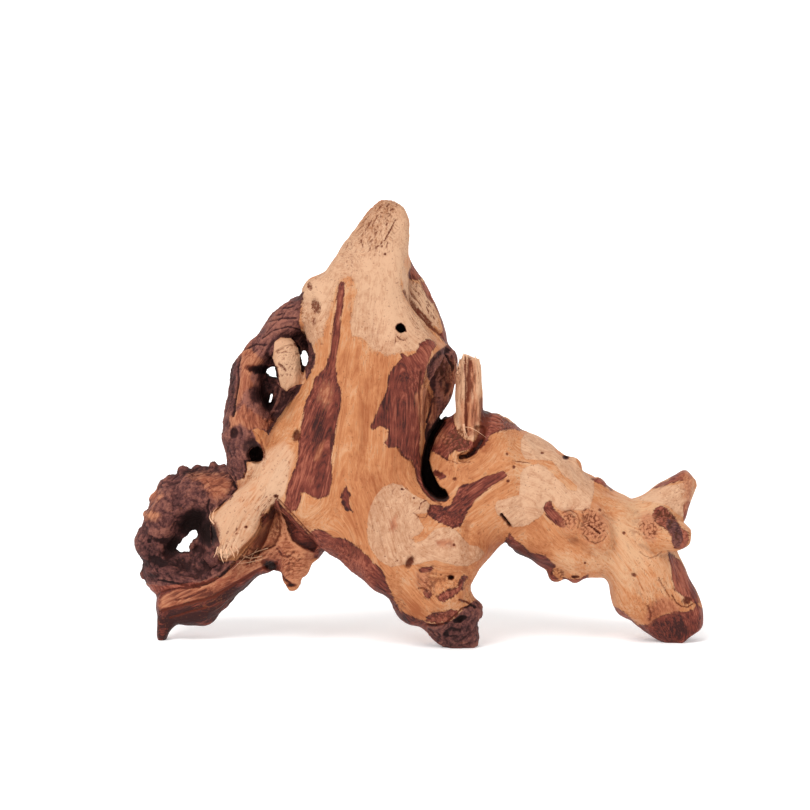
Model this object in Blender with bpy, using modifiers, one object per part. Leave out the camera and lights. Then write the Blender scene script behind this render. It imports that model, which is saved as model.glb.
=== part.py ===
"""A piece of mopani driftwood: sandblasted root wood that stands on three feet.

The wood grew as one piece, so it is modelled as one fused body and then parted at its main forks, a fine
saw kerf at each, so that every limb is an object of its own. The tables are in millimetres and the scene
is in metres, +Z up. -Y is the side with the broad pale face, and the origin is on the ground under it.
"""

import math

import bmesh
import bpy
import numpy as np
from mathutils import Matrix, Vector, noise

MM = 0.001
RING_SIDES = 28
STEPS_PER_RIB = 3
ROD_SIDES = 9
FUSE_VOXEL = 1.4 * MM
SMOOTH_ROUNDS = 7
SAW_KERF = 0.3 * MM
STANDING_POINT = Vector((0.39, 5.93, 0)) * MM
TRIANGLE_BUDGET = 6300
GRAIN_SIZE = Vector((7, 9, 60)) * MM
GRAIN_DEPTH = 1.3 * MM
SWELL_SIZE = 17.0 * MM
SWELL_DEPTH = 1.0 * MM
BARK_LUMP_SIZE = 7.0 * MM
BARK_LUMP_DEPTH = 1.3 * MM

# A limb is a list of ribs from its root to its tip. A rib is a section of it, an oval seen edge on from the
# front: the x and z of its two ends on the limb's outline, the depth y of its centre, its half thickness.
TRUNK = (
    (-19, 224, -11.5, 223.5, 4, 5),
    (-23, 219, -7, 219.5, 3, 8),
    (-28, 213, -4.5, 213.5, 3, 10),
    (-34.5, 205.5, -4.5, 205.5, 2, 12),
    (-40, 197, -4.5, 196, 1, 15),
    (-46.5, 187.5, -4.5, 186, 0, 17),
    (-53, 175.5, -4.5, 174, 0, 19),
    (-56.5, 160.5, 5.5, 158.5, 0, 21),
    (-54.5, 147.5, 13.5, 148.5, -1, 22),
    (-57.5, 134.5, 7, 134.5, -2, 23),
    (-64.5, 121.5, 4, 121.5, -3, 24),
    (-73, 107.5, 3, 107.5, -4, 24),
    (-76, 92.5, 2, 92.5, -5, 25),
    (-75, 78.5, 7, 81.5, -6, 26),
    (-63.5, 62.5, 22, 71, -7, 26),
    (-46, 48.5, 34, 58.5, -8, 25),
    (-33.5, 39.5, 35.5, 48.5, -9, 24),
    (-26.5, 32, 31, 40, -9, 22),
    (-20, 28, 26.5, 30.5, -9, 20),
    (-13.5, 21.5, 29.5, 23.5, -9, 18),
    (-9, 14.5, 32.5, 19, -9, 15),
    (-3, 11, 30.5, 13, -9, 13),
    (4.5, 6.5, 31.5, 7.5, -8, 11),
    (9.5, 1.5, 32, 2.5, -8, 9),
    (14, -2, 30, -1, -8, 7),
)
BACK_RIDGE = (
    (-16.5, 203, -4.5, 201, 12, 5),
    (-16.5, 191, -2.5, 191, 13, 8),
    (-16.5, 180, 3.4, 180, 14, 10),
    (-16.5, 169, 10.2, 169, 14, 12),
    (-14, 158.5, 13.5, 158, 14, 13),
    (-11.5, 149, 14.4, 149, 13, 14),
    (-11.5, 139, 11, 139, 12, 14),
)
BARK_KNOB = (
    (3.5, 150.5, 15.5, 149, 14, 7),
    (3.5, 144, 20, 144, 14, 10),
    (2, 135, 20, 135, 14, 11),
    (0, 126, 18.5, 127.5, 13, 12),
    (-3, 117.5, 15, 118, 12, 12),
    (-6.5, 108, 11.5, 109, 11, 12),
    (-8, 97, 9.5, 97, 11, 11),
    (-6, 84, 12, 84, 10, 10),
)
SIDE_KNOB = (
    (-46, 187, -48, 170, -2, 10),
    (-53, 185.5, -54.5, 171.5, -3, 9),
    (-57.5, 181, -58.5, 174.5, -4, 5),
)
TONGUE = (
    (-66, 113.5, -44, 98.5, -8, 16),
    (-75.5, 101, -55, 86, -9, 16),
    (-81, 89.5, -65.5, 75.5, -11, 14),
    (-89.5, 80, -74.5, 67.5, -13, 12),
    (-99, 70, -79, 57.5, -15, 10),
    (-103, 61, -82.5, 51, -17, 8),
    (-102, 52, -87.5, 46, -18, 6),
    (-100, 45, -94, 42.5, -18, 3),
)
LOOP = (
    (-51.5, 178.5, -50, 158.5, 4, 14),
    (-59.5, 175, -57.5, 157, 5, 14),
    (-67.5, 171, -63.5, 155, 6, 14),
    (-75.3, 162.8, -67.5, 152.5, 7, 14),
    (-82.3, 152.4, -72, 146, 7, 15),
    (-90.5, 144, -76.5, 140, 7, 16),
    (-93.5, 136, -78, 133, 6, 17),
    (-95.5, 125, -77.5, 124.5, 5, 17),
    (-98, 114.5, -74.5, 116.5, 4, 17),
    (-98, 105, -70.5, 107, 3, 17),
    (-97, 97, -70, 95, 2, 16),
    (-95, 88, -74, 84, 1, 13),
    (-91, 81, -80, 77, 0, 9),
)
LOOP_WEB = (
    (-74, 155, -54, 155, 13, 7),
    (-79, 142, -52, 142, 13, 7),
    (-80, 128, -55, 128, 12, 7),
    (-77, 113, -62, 113, 11, 7),
)
CUT_STUB = (
    (-71, 154.5, -63, 153, -3, 5),
    (-72.5, 147.5, -59.5, 147.5, -7, 6),
    (-71, 140.5, -59, 140.5, -9, 6.5),
    (-69.5, 133.5, -58.5, 133.5, -10, 6),
    (-68, 128.5, -62, 129, -10, 4),
)
RING = (
    (-86, 88.5, -84, 60, 12, 13),
    (-98, 87.5, -99.5, 61, 19, 15),
    (-108.5, 86, -110, 59.5, 23, 16),
    (-120.5, 84, -117, 56, 25, 17),
    (-131, 78, -121, 52, 26, 18),
    (-136.5, 69, -124, 48, 26, 18),
    (-139.5, 58, -125, 45, 26, 17),
    (-144.5, 47.5, -125, 42, 25, 16),
    (-140, 39.5, -122.5, 41, 24, 16),
    (-138.8, 31.5, -117, 39.5, 23, 16),
    (-133.5, 22.5, -111, 37, 22, 15),
    (-118.5, 22, -105, 36.5, 20, 13),
)
RING_WEB = (
    (-127, 66, -92.5, 69, 22, 10),
    (-130, 56, -97.5, 54, 24, 9),
    (-130, 48.5, -98.5, 46, 24, 9),
    (-126, 41.5, -98.5, 39, 22, 10),
    (-117, 32, -97.5, 30.5, 19, 11),
)
RING_RIM = (
    (-109, 66, -92.5, 69, 17, 13),
    (-109.5, 56, -97, 53.5, 18, 12),
    (-109.5, 48.5, -98, 46, 18, 12),
    (-111, 41.5, -98.5, 39, 17, 12),
)
ROOT = (
    (-59, 88, -39, 50.5, 0, 20),
    (-71.5, 72, -53, 46.5, 3, 18),
    (-81, 60, -66, 40.5, 7, 17),
    (-90, 48, -77, 35, 11, 16),
    (-99.5, 38.5, -86.5, 27.5, 14, 16),
    (-111, 32, -96.5, 17, 17, 15),
    (-121.5, 28.5, -105, 7.5, 18, 14),
    (-131, 24, -115.5, 7, 18, 13),
    (-133, 17, -123.5, 7.5, 17, 10),
)
ROOT_TIP = (
    (-133, 18, -119, 9, 17, 9),
    (-132.5, 10, -125, 5, 15, 7),
    (-132.5, 4, -126, 3.5, 13, 6),
    (-132, -2, -127.5, -2, 13, 5.5),
)
SPUR = (
    (-67.5, 63, -44, 50.5, 0, 14),
    (-72, 50.5, -48.5, 45.5, -1, 12),
    (-72, 42, -49.5, 42.5, -2, 10),
    (-70.5, 35.5, -52.5, 36.5, -3, 8),
    (-67, 29.5, -59, 29.5, -3, 5),
    (-64.5, 27, -61, 27, -3, 2),
)
LIMB = (
    (-9, 88, 11, 28, -4, 20),
    (3, 92, 27, 35, -2, 24),
    (11, 103, 42, 51, 1, 25),
    (32, 117, 50, 46, 3, 26),
    (50.7, 108.8, 61, 39.5, 5, 26),
    (68.5, 99, 73.5, 32.5, 6, 25),
    (82, 87, 86, 33, 7, 24),
    (95, 78.2, 95, 32, 7, 23),
    (107, 72, 98.5, 19, 7, 22),
    (125.5, 53, 102, 13.5, 8, 20),
    (132.5, 41, 109, 9, 9, 18),
    (139, 27, 116, 4, 10, 16),
    (143, 16, 122.5, -0.5, 10, 13),
    (143.8, 7, 129, -3, 10, 11),
)
FORK = (
    (102, 69.8, 112, 42, 6, 18),
    (112, 73.2, 123.5, 52, 9, 15),
    (121.5, 79, 134.5, 60.5, 12, 12),
    (130, 84.5, 137.8, 70, 14, 9),
    (135.5, 87, 140.8, 79, 15, 6),
)
FORK_KNOB = (
    (113.5, 65.5, 116, 47, -2, 12),
    (122, 65, 123, 47.5, -7, 12),
    (131.5, 63.5, 130, 48.5, -10, 10),
    (137.5, 60, 136, 51.5, -11, 7),
)
SHOULDER = (
    (11, 85.5, 36, 88, 2, 16),
    (7.5, 95.5, 32, 97, 2, 16),
    (8.5, 105, 31.5, 105, 3, 15),
    (13.5, 112.5, 32, 112, 3, 12),
    (20, 117, 31, 116.5, 1, 8),
)
SNAPPED_STUB = (
    (17.5, 100.5, 32, 100.5, -3, 9),
    (18.5, 113.5, 32.5, 113.5, -5, 8),
    (19, 126, 32.5, 126, -6, 7),
    (19, 138.5, 31.7, 138.5, -6, 6.5),
    (20.5, 146, 31.3, 145, -6, 6),
)
REAR_SPINE = (
    (-34, 192, -22, 192, 6, 9),
    (-42, 168, -22, 168, 14, 10),
    (-47, 142, -24, 142, 18, 11),
    (-52, 114, -26, 114, 19, 12),
    (-54, 88, -24, 86, 18, 14),
    (-46, 66, -18, 62, 12, 14),
)
REAR_ROOT = (
    (-30, 104, 10, 104, 6, 16),
    (-26, 84, 11, 84, 16, 16),
    (-19, 67, 13, 67, 25, 15),
    (-11, 53, 14, 53, 31, 13),
    (-4, 42, 13, 42, 35, 11),
    (0, 35, 11, 35, 37, 8),
)

# How square each limb's section is: 1 is an oval, and less has a flatter face with a tighter edge.
LIMBS = (
    (TRUNK, 0.72),
    (BACK_RIDGE, 0.9),
    (BARK_KNOB, 1.0),
    (SIDE_KNOB, 0.9),
    (TONGUE, 0.75),
    (LOOP, 0.95),
    (LOOP_WEB, 0.8),
    (CUT_STUB, 0.8),
    (RING, 0.95),
    (RING_WEB, 1.0),
    (RING_RIM, 0.9),
    (ROOT, 0.8),
    (ROOT_TIP, 0.9),
    (SPUR, 0.9),
    (LIMB, 0.8),
    (FORK, 0.9),
    (FORK_KNOB, 0.9),
    (SHOULDER, 0.9),
    (SNAPPED_STUB, 0.7),
    (REAR_SPINE, 0.95),
    (REAR_ROOT, 0.95),
)

# Lumps that the wood grew: x, y and z of the middle, and the radius.
LUMPS = (
    (-126, 21, 78.3, 4.5),
    (-118.5, 22, 82.3, 4.5),
    (-110.5, 21, 83.8, 4.5),
    (-103, 19, 84.8, 4.5),
    (-97, 16, 84.5, 4),
    (-133, 14, 61, 5),
    (-136.5, 14, 50, 5),
    (-131, 12, 36, 5),
    (-83, 1, 148, 5),
    (-92, -2, 128, 4.5),
    (-93, -6, 106, 5),
    (76, 3, 87.8, 6.5),
    (90.5, 1, 79, 5.5),
    (76, -16, 61.5, 6),
    (88.5, -15, 57.5, 9.5),
    (87, -15, 68, 5),
    (115, -9, 57.5, 7),
    (69.5, -4, 36.5, 5),
    (78.5, -6, 36, 5.5),
    (54, 8, 50, 7.5),
    (12.5, -22, 30, 11),
    (27, -12, 19, 6.5),
    (136, 5, 14, 7),
    (-30, 26, 100, 9),
    (70, 26, 72, 9),
    (104, 22, 50, 8),
    (-78, 12, 62.7, 5),
)

# Hollows in the wood: x, y and z of the two ends of each stretch, and the radius.
HOLLOWS = (
    ((-8.5, -40, 162.7), (-8.5, -8, 159.3), 2.2),
    ((-82, -30, 97), (-80, -4, 97), 4.2),
    ((-111, -30, 58.8), (-116, 60, 47.4), 2.5),
    ((-114, -30, 55.6), (-119.2, 60, 43.8), 2.6),
    ((-116.8, -30, 52.6), (-122.2, 60, 40.4), 2.6),
    ((-74, -30, 138), (-74.5, 60, 134), 2.2),
    ((-56.8, -30, 146), (-58.5, 60, 142), 1.8),
    ((30.5, -13, 111.9), (29.5, -22, 100.3), 2.6),
    ((29.5, -22, 100.3), (20.5, -17, 95.3), 2.6),
)

# The saw lines, in the order of the cuts. Each limb is what is left inside its outline, given by x and z
# from the front, and between the two depths.
EVERY_DEPTH = (-80, 80)
TERRITORIES = (
    ("cut_stub", ((-75, 150), (-57.5, 150), (-56.5, 126), (-75, 126)), (-60, 2)),
    (
        "torn_limb",
        (
            (-85, 94),
            (-63, 73),
            (-73, 66),
            (-77.5, 57),
            (-81.5, 49.5),
            (-88, 44.5),
            (-96, 40),
            (-106, 46),
            (-106, 64),
            (-97, 78),
        ),
        (-60, -4),
    ),
    (
        "loop_root",
        (
            (-64, 178),
            (-58, 171.5),
            (-55.5, 158),
            (-54.5, 147),
            (-57.5, 134.5),
            (-65, 121.5),
            (-72.5, 108),
            (-76, 96),
            (-101, 88),
            (-110, 100),
            (-110, 160),
            (-82, 184),
        ),
        EVERY_DEPTH,
    ),
    (
        "bark_ring",
        (
            (-155, 104),
            (-91, 104),
            (-92, 70),
            (-94, 52),
            (-100, 40),
            (-113, 32),
            (-128, 26),
            (-155, 21),
        ),
        EVERY_DEPTH,
    ),
    (
        "left_root",
        (
            (-155, 92),
            (-79, 92),
            (-72, 78),
            (-62, 64),
            (-49, 50),
            (-46, 43),
            (-46, -10),
            (-155, -10),
        ),
        EVERY_DEPTH,
    ),
    ("snapped_stub", ((16, 115), (36, 118.5), (36, 155), (18.2, 155), (18.2, 124)), (-60, 1.7)),
    (
        "right_foot",
        ((94, 33), (128, 45.5), (160, 45.5), (160, -10), (90, -10)),
        EVERY_DEPTH,
    ),
    (
        "right_prong",
        ((104, 95), (106, 68), (112, 50), (128, 46.5), (160, 46.5), (160, 95)),
        EVERY_DEPTH,
    ),
    (
        "right_limb",
        (
            (40, 45),
            (12.5, 70),
            (9, 80),
            (8, 95),
            (9, 106),
            (13, 113.5),
            (16.5, 120),
            (18.5, 130),
            (160, 130),
            (160, -10),
            (44, -10),
        ),
        EVERY_DEPTH,
    ),
)

# Colour and roughness of each limb.
SAPWOOD = (0.58, 0.33, 0.17)
PALE_WOOD = (0.72, 0.46, 0.28)
HEARTWOOD = (0.21, 0.058, 0.04)
BARK = (0.1, 0.035, 0.026)
FINISHES = {
    "trunk": (SAPWOOD, 0.62),
    "torn_limb": (PALE_WOOD, 0.66),
    "cut_stub": (PALE_WOOD, 0.7),
    "snapped_stub": (PALE_WOOD, 0.7),
    "right_limb": (SAPWOOD, 0.62),
    "right_prong": (SAPWOOD, 0.62),
    "right_foot": (HEARTWOOD, 0.6),
    "left_root": (HEARTWOOD, 0.6),
    "loop_root": (BARK, 0.72),
    "bark_ring": (BARK, 0.78),
}


def clear_scene():
    """Removes the objects that Blender starts with."""
    for old in list(bpy.data.objects):
        bpy.data.objects.remove(old, do_unlink=True)


def new_collection(name):
    made = bpy.data.collections.new(name)
    bpy.context.scene.collection.children.link(made)
    return made


def object_from(bm, name, collection):
    """A new object that holds this bmesh, its faces turned outwards."""
    bmesh.ops.recalc_face_normals(bm, faces=bm.faces)
    mesh = bpy.data.meshes.new(name)
    bm.to_mesh(mesh)
    bm.free()
    made = bpy.data.objects.new(name, mesh)
    collection.objects.link(made)
    return made


def helper_from(bm, name, collection):
    made = object_from(bm, name, collection)
    made.hide_render = True
    made.display_type = "WIRE"
    return made


def bake(obj):
    """Puts the shape that the modifiers make into the object's own mesh."""
    graph = bpy.context.evaluated_depsgraph_get()
    shaped = bpy.data.meshes.new_from_object(obj.evaluated_get(graph))
    old = obj.data
    obj.modifiers.clear()
    obj.data = shaped
    bpy.data.meshes.remove(old)


def smooth_ribs(ribs):
    """The ribs with others in between, on a Catmull-Rom curve through all six of their numbers."""
    table = np.array(ribs, float)
    padded = np.vstack([2 * table[0] - table[1], table, 2 * table[-1] - table[-2]])
    found = []
    for before, start, end, after in zip(padded, padded[1:], padded[2:], padded[3:]):
        for step in range(STEPS_PER_RIB):
            t = step / STEPS_PER_RIB
            slope = (end - before) * t
            bend = (2 * before - 5 * start + 4 * end - after) * t**2
            twist = (3 * start - before - 3 * end + after) * t**3
            found.append((2 * start + slope + bend + twist) / 2)
    found.append(table[-1])
    return found


def rib_matrix(rib):
    """Takes a unit circle in its own XY plane to the rib's oval."""
    left_x, left_z, right_x, right_z, depth, thickness = (float(v) * MM for v in rib)
    across = Vector(((right_x - left_x) / 2, 0, (right_z - left_z) / 2))
    back = Vector((0, max(thickness, MM), 0))
    along = across.cross(back).normalized()
    matrix = Matrix((across, back, along)).transposed().to_4x4()
    matrix.translation = ((left_x + right_x) / 2, depth, (left_z + right_z) / 2)
    return matrix


def add_limb(bm, ribs, squareness):
    """Extrudes a squared oval from rib to rib, which leaves one closed limb."""
    matrices = [rib_matrix(rib) for rib in smooth_ribs(ribs)]
    ring = bmesh.ops.create_circle(bm, cap_ends=True, segments=RING_SIDES, radius=1)["verts"]
    for vert in ring:
        vert.co.x = math.copysign(abs(vert.co.x) ** squareness, vert.co.x)
        vert.co.y = math.copysign(abs(vert.co.y) ** squareness, vert.co.y)
    bmesh.ops.transform(bm, matrix=matrices[0], verts=ring)
    face = ring[0].link_faces[0]
    for before, after in zip(matrices, matrices[1:]):
        pushed = bmesh.ops.extrude_face_region(bm, geom=[face], use_keep_orig=before is matrices[0])["geom"]
        face = next(item for item in pushed if isinstance(item, bmesh.types.BMFace))
        moved = [item for item in pushed if isinstance(item, bmesh.types.BMVert)]
        bmesh.ops.transform(bm, matrix=after @ before.inverted(), verts=moved)


def add_lump(bm, lump):
    x, y, z, radius = (v * MM for v in lump)
    place = Matrix.Translation((x, y, z))
    bmesh.ops.create_icosphere(bm, subdivisions=2, radius=radius, matrix=place)


def add_rod(bm, start, end, radius):
    """A round rod from one point to the other."""
    start, end = Vector(start) * MM, Vector(end) * MM
    turn = (end - start).to_track_quat("Z", "Y").to_matrix().to_4x4()
    place = Matrix.Translation((start + end) / 2) @ turn
    length = (end - start).length
    size = radius * MM
    bmesh.ops.create_cone(
        bm, cap_ends=True, segments=ROD_SIDES, radius1=size, radius2=size, depth=length, matrix=place
    )


def prism(outline, depths, grown, name, collection):
    """A block behind an outline in x and z, from the first depth to the second, each side moved out by grown."""
    bm = bmesh.new()
    corners = [Vector((x * MM, z * MM)) for x, z in outline]
    turning = sum(a.x * b.y - b.x * a.y for a, b in zip(corners, corners[1:] + corners[:1]))
    side = -grown if turning > 0 else grown
    verts = []
    for before, corner, after in zip(corners[-1:] + corners, corners, corners[1:] + corners[:1]):
        first = (corner - before).normalized().orthogonal()
        second = (after - corner).normalized().orthogonal()
        miter = (first + second) / (1 + first.dot(second))
        moved = corner + miter * side
        verts.append(bm.verts.new((moved.x, depths[0] * MM - grown, moved.y)))
    face = bm.faces.new(verts)
    pushed = bmesh.ops.extrude_face_region(bm, geom=[face], use_keep_orig=True)["geom"]
    far_end = [item for item in pushed if isinstance(item, bmesh.types.BMVert)]
    thickness = (depths[1] - depths[0]) * MM + 2 * grown
    bmesh.ops.translate(bm, vec=(0, thickness, 0), verts=far_end)
    return helper_from(bm, name, collection)


def cut(obj, cutter, operation):
    """Cuts the object with the cutter, or keeps only what the two share."""
    modifier = obj.modifiers.new(cutter.name, "BOOLEAN")
    modifier.operation = operation
    modifier.object = cutter
    bake(obj)


def grow_wood(parts):
    """All limbs and lumps as one closed body."""
    bm = bmesh.new()
    for ribs, squareness in LIMBS:
        add_limb(bm, ribs, squareness)
    for lump in LUMPS:
        add_lump(bm, lump)
    wood = object_from(bm, "trunk", parts)
    fuse = wood.modifiers.new("Fuse", "REMESH")
    fuse.mode = "VOXEL"
    fuse.voxel_size = FUSE_VOXEL
    ease = wood.modifiers.new("Ease", "SMOOTH")
    ease.factor = 0.5
    ease.iterations = SMOOTH_ROUNDS
    bake(wood)
    return wood


def bark_share(x):
    """How barky the surface is at this x: 1 on the ring and the loop at the left, 0 from the trunk on."""
    return min(1.0, max(0.0, (-72 * MM - x) / (12 * MM)))


def add_relief(wood):
    """Moves the surface along its normals: long flutes up the trunk, broad swells, and lumps on the bark."""
    normals = [vert.normal.copy() for vert in wood.data.vertices]
    for vert, normal in zip(wood.data.vertices, normals):
        place = vert.co
        bark = bark_share(place.x)
        swell = noise.noise(place / SWELL_SIZE) * SWELL_DEPTH
        along_grain = Vector(a / b for a, b in zip(place, GRAIN_SIZE))
        flute = noise.noise(along_grain) * GRAIN_DEPTH * (1 - bark)
        lump = noise.noise(place / BARK_LUMP_SIZE) * BARK_LUMP_DEPTH * bark
        vert.co = place + normal * (swell + flute + lump)


def thin_out(wood):
    """Brings the body down to the faces that its shape needs."""
    wood.data.calc_loop_triangles()
    thin = wood.modifiers.new("Thin", "DECIMATE")
    thin.ratio = TRIANGLE_BUDGET / len(wood.data.loop_triangles)
    thin.use_collapse_triangulate = True
    bake(wood)


def hollow_out(wood, cutters):
    """Cuts the holes, pits and the crevice, one rod at a time."""
    for number, (start, end, radius) in enumerate(HOLLOWS):
        bm = bmesh.new()
        add_rod(bm, start, end, radius)
        cut(wood, helper_from(bm, f"hollow_{number}", cutters), "DIFFERENCE")


def level_feet(wood, cutters):
    """Cuts the three feet flat on the ground."""
    ground = prism(((-200, 0), (200, 0), (200, -50), (-200, -50)), EVERY_DEPTH, 0, "ground", cutters)
    cut(wood, ground, "DIFFERENCE")


def keep_largest(obj):
    """Drops the crumbs that a cut leaves."""
    bm = bmesh.new()
    bm.from_mesh(obj.data)
    left = set(bm.faces)
    bodies = []
    while left:
        body = {left.pop()}
        edge = set(body)
        while edge:
            edge = {near for face in edge for line in face.edges for near in line.link_faces} & left
            left -= edge
            body |= edge
        bodies.append(body)
    largest = max(bodies, key=len)
    crumbs = [face for body in bodies if body is not largest for face in body]
    bmesh.ops.delete(bm, geom=crumbs, context="FACES")
    bm.to_mesh(obj.data)
    bm.free()


def part_limbs(wood, cutters, parts):
    """Parts the body along the saw lines, and names each limb."""
    limbs = [wood]
    for name, outline, depths in TERRITORIES:
        limb = bpy.data.objects.new(name, wood.data.copy())
        parts.objects.link(limb)
        cut(limb, prism(outline, depths, 0, name + "_inside", cutters), "INTERSECT")
        cut(wood, prism(outline, depths, SAW_KERF, name + "_kerf", cutters), "DIFFERENCE")
        limbs.append(limb)
    return limbs


def dress(limb):
    """Moves the limb over the origin, and gives it its own material and smooth shading."""
    limb.data.transform(Matrix.Translation(-STANDING_POINT))
    colour, roughness = FINISHES[limb.name]
    material = bpy.data.materials.new(limb.name)
    material.use_nodes = True
    shader = material.node_tree.nodes["Principled BSDF"]
    shader.inputs["Base Color"].default_value = (*colour, 1)
    shader.inputs["Roughness"].default_value = roughness
    shader.inputs["Metallic"].default_value = 0
    limb.data.materials.clear()
    limb.data.materials.append(material)
    limb.data.shade_smooth()
    limb.data.set_sharp_from_angle(angle=math.radians(40))


def main():
    clear_scene()
    parts = new_collection("mopani_wood")
    cutters = new_collection("cutters")
    wood = grow_wood(parts)
    add_relief(wood)
    thin_out(wood)
    level_feet(wood, cutters)
    hollow_out(wood, cutters)
    for limb in part_limbs(wood, cutters, parts):
        keep_largest(limb)
        dress(limb)


main()
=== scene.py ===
"""A piece of mopani driftwood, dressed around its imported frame.

The wood is grown once more as one body, from the ribs that its solids have but finer. It is then carved,
given its relief, painted and parted at its forks, so that each limb stands for its node. Lengths are in
millimetres, and places on the face of the wood are in pixels of the 810 x 810 picture, unless a name says
otherwise.
"""

import logging
import math
from dataclasses import dataclass
from enum import Enum
from typing import Any, Iterable

import bmesh
import bpy
import numpy as np
from mathutils import Matrix, Vector, noise
from mathutils.kdtree import KDTree


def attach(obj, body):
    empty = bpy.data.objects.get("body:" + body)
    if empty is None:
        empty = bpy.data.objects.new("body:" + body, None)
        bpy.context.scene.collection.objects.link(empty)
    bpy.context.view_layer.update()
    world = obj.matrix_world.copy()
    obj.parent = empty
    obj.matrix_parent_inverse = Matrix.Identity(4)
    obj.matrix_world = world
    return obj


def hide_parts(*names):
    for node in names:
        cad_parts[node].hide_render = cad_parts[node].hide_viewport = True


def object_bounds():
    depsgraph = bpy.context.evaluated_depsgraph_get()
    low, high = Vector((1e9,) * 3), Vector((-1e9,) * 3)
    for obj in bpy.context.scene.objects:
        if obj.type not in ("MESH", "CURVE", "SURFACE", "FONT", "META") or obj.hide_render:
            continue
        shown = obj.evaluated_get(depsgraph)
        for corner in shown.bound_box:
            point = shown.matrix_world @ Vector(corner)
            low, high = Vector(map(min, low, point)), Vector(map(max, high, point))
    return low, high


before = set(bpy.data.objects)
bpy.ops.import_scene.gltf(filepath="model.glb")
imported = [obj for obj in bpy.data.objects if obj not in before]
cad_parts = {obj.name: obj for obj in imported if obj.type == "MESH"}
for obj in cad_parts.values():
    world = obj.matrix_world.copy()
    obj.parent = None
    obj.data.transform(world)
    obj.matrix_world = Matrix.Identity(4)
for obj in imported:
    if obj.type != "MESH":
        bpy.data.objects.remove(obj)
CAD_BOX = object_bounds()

Array = np.ndarray
Numbers = tuple[float, ...]
Spots = tuple[tuple[float, float], ...]

log = logging.getLogger("mopani_wood")
MM = 0.001
PICTURE_SIZE = 810
PIXELS_PER_MM = 2
STANDING_POINT = Vector((0.39, 5.93, 0)) * MM


class Slot(Enum):
    """The material slots of the record."""

    SAPWOOD = "sapwood"
    HEARTWOOD = "heartwood"
    BARK = "bark"
    TORN_WOOD = "torn_wood"


def ramp(value: Array, low: float, high: float) -> Array:
    """A smooth rise from 0 at low to 1 at high.

    Args:
        value: the numbers to map.
        low: where the rise starts.
        high: where it ends; it may be under low, for a fall.

    Returns:
        One number from 0 to 1 for each value.
    """
    t = np.clip((value - low) / (high - low), 0, 1)
    return t * t * (3 - 2 * t)


def near_spots(x: Array, y: Array, spots: Array, far: float) -> Array:
    """Which places lie no farther than far outside the box around some spots."""
    low, high = spots.min(axis=0) - far, spots.max(axis=0) + far
    return (x > low[0]) & (x < high[0]) & (y > low[1]) & (y < high[1])


def line_distance(x: Array, y: Array, spots: Array) -> Array:
    """How far each place is from the line through some spots.

    Args:
        x: the places' pixels from the left.
        y: the places' pixels from the top.
        spots: the line's spots in order, one row each.

    Returns:
        Pixels, one number for each place.
    """
    closest = np.full(len(x), 1e9)
    for (ax, ay), (bx, by) in zip(spots, spots[1:]):
        dx, dy = bx - ax, by - ay
        t = np.clip(((x - ax) * dx + (y - ay) * dy) / (dx * dx + dy * dy), 0, 1)
        closest = np.minimum(closest, (x - ax - t * dx) ** 2 + (y - ay - t * dy) ** 2)
    return np.sqrt(closest)


def curve_through(rows: Array, steps: int) -> list[Array]:
    """Rows of numbers with others in between, on a smooth curve through each column.

    Args:
        rows: the numbers to pass through.
        steps: how many steps lead from each row to the next.

    Returns:
        The closer rows.
    """
    padded = np.vstack([2 * rows[0] - rows[1], rows, 2 * rows[-1] - rows[-2]])
    found = []
    for before, start, end, after in zip(padded, padded[1:], padded[2:], padded[3:]):
        for step in range(steps):
            t = step / steps
            slope = (end - before) * t
            bend = (2 * before - 5 * start + 4 * end - after) * t**2
            twist = (3 * start - before - 3 * end + after) * t**3
            found.append((2 * start + slope + bend + twist) / 2)
    return [*found, rows[-1]]


@dataclass(frozen=True)
class PictureView:
    """The camera that sees the wood as the picture does."""

    target: Numbers = (-0.00689, -0.00593, 0.12066)
    distance: float = 2.0
    elevation: float = math.radians(6)
    lens: float = 177.8
    sensor: float = 36.0

    @property
    def back(self) -> Vector:
        """The direction from the wood to the camera."""
        return Vector((0, -math.cos(self.elevation), math.sin(self.elevation)))

    @property
    def eye(self) -> Vector:
        """The camera's place."""
        return Vector(self.target) + self.back * self.distance

    @property
    def up(self) -> Vector:
        """The picture's upward direction."""
        return Vector((0, math.sin(self.elevation), math.cos(self.elevation)))

    @property
    def pixels_per_unit(self) -> float:
        """Pixels across for one unit of x at one unit of depth."""
        return self.lens / self.sensor * PICTURE_SIZE

    def pixels(self, points: Array) -> tuple[Array, Array]:
        """Where points show in the picture.

        Args:
            points: places in metres, one row each.

        Returns:
            Their x and their y in pixels.
        """
        away = points - np.array(self.eye)
        depth = away @ -np.array(self.back)
        x = PICTURE_SIZE / 2 + away[:, 0] / depth * self.pixels_per_unit
        y = PICTURE_SIZE / 2 - away @ np.array(self.up) / depth * self.pixels_per_unit
        return x, y

    def place(self, x: float, y: float, depth: float) -> Vector:
        """The point behind a pixel at a depth.

        Args:
            x: pixel from the left.
            y: pixel from the top.
            depth: the y of the point in millimetres.

        Returns:
            The point in metres.
        """
        ray = Vector(((x - PICTURE_SIZE / 2) / self.pixels_per_unit, 0, 0)) - self.back
        ray += self.up * ((PICTURE_SIZE / 2 - y) / self.pixels_per_unit)
        return self.eye + ray * ((depth * MM - self.eye.y) / ray.y)

    def set_camera(self) -> None:
        """Puts the camera in the scene."""
        data = bpy.data.cameras.new("picture_camera")
        data.lens = self.lens
        data.sensor_width = self.sensor
        camera = bpy.data.objects.new("picture_camera", data)
        camera.location = self.eye
        camera.rotation_euler = (-self.back).to_track_quat("-Z", "Y").to_euler()
        bpy.context.scene.collection.objects.link(camera)
        bpy.context.scene.camera = camera


VIEW = PictureView()


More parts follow.
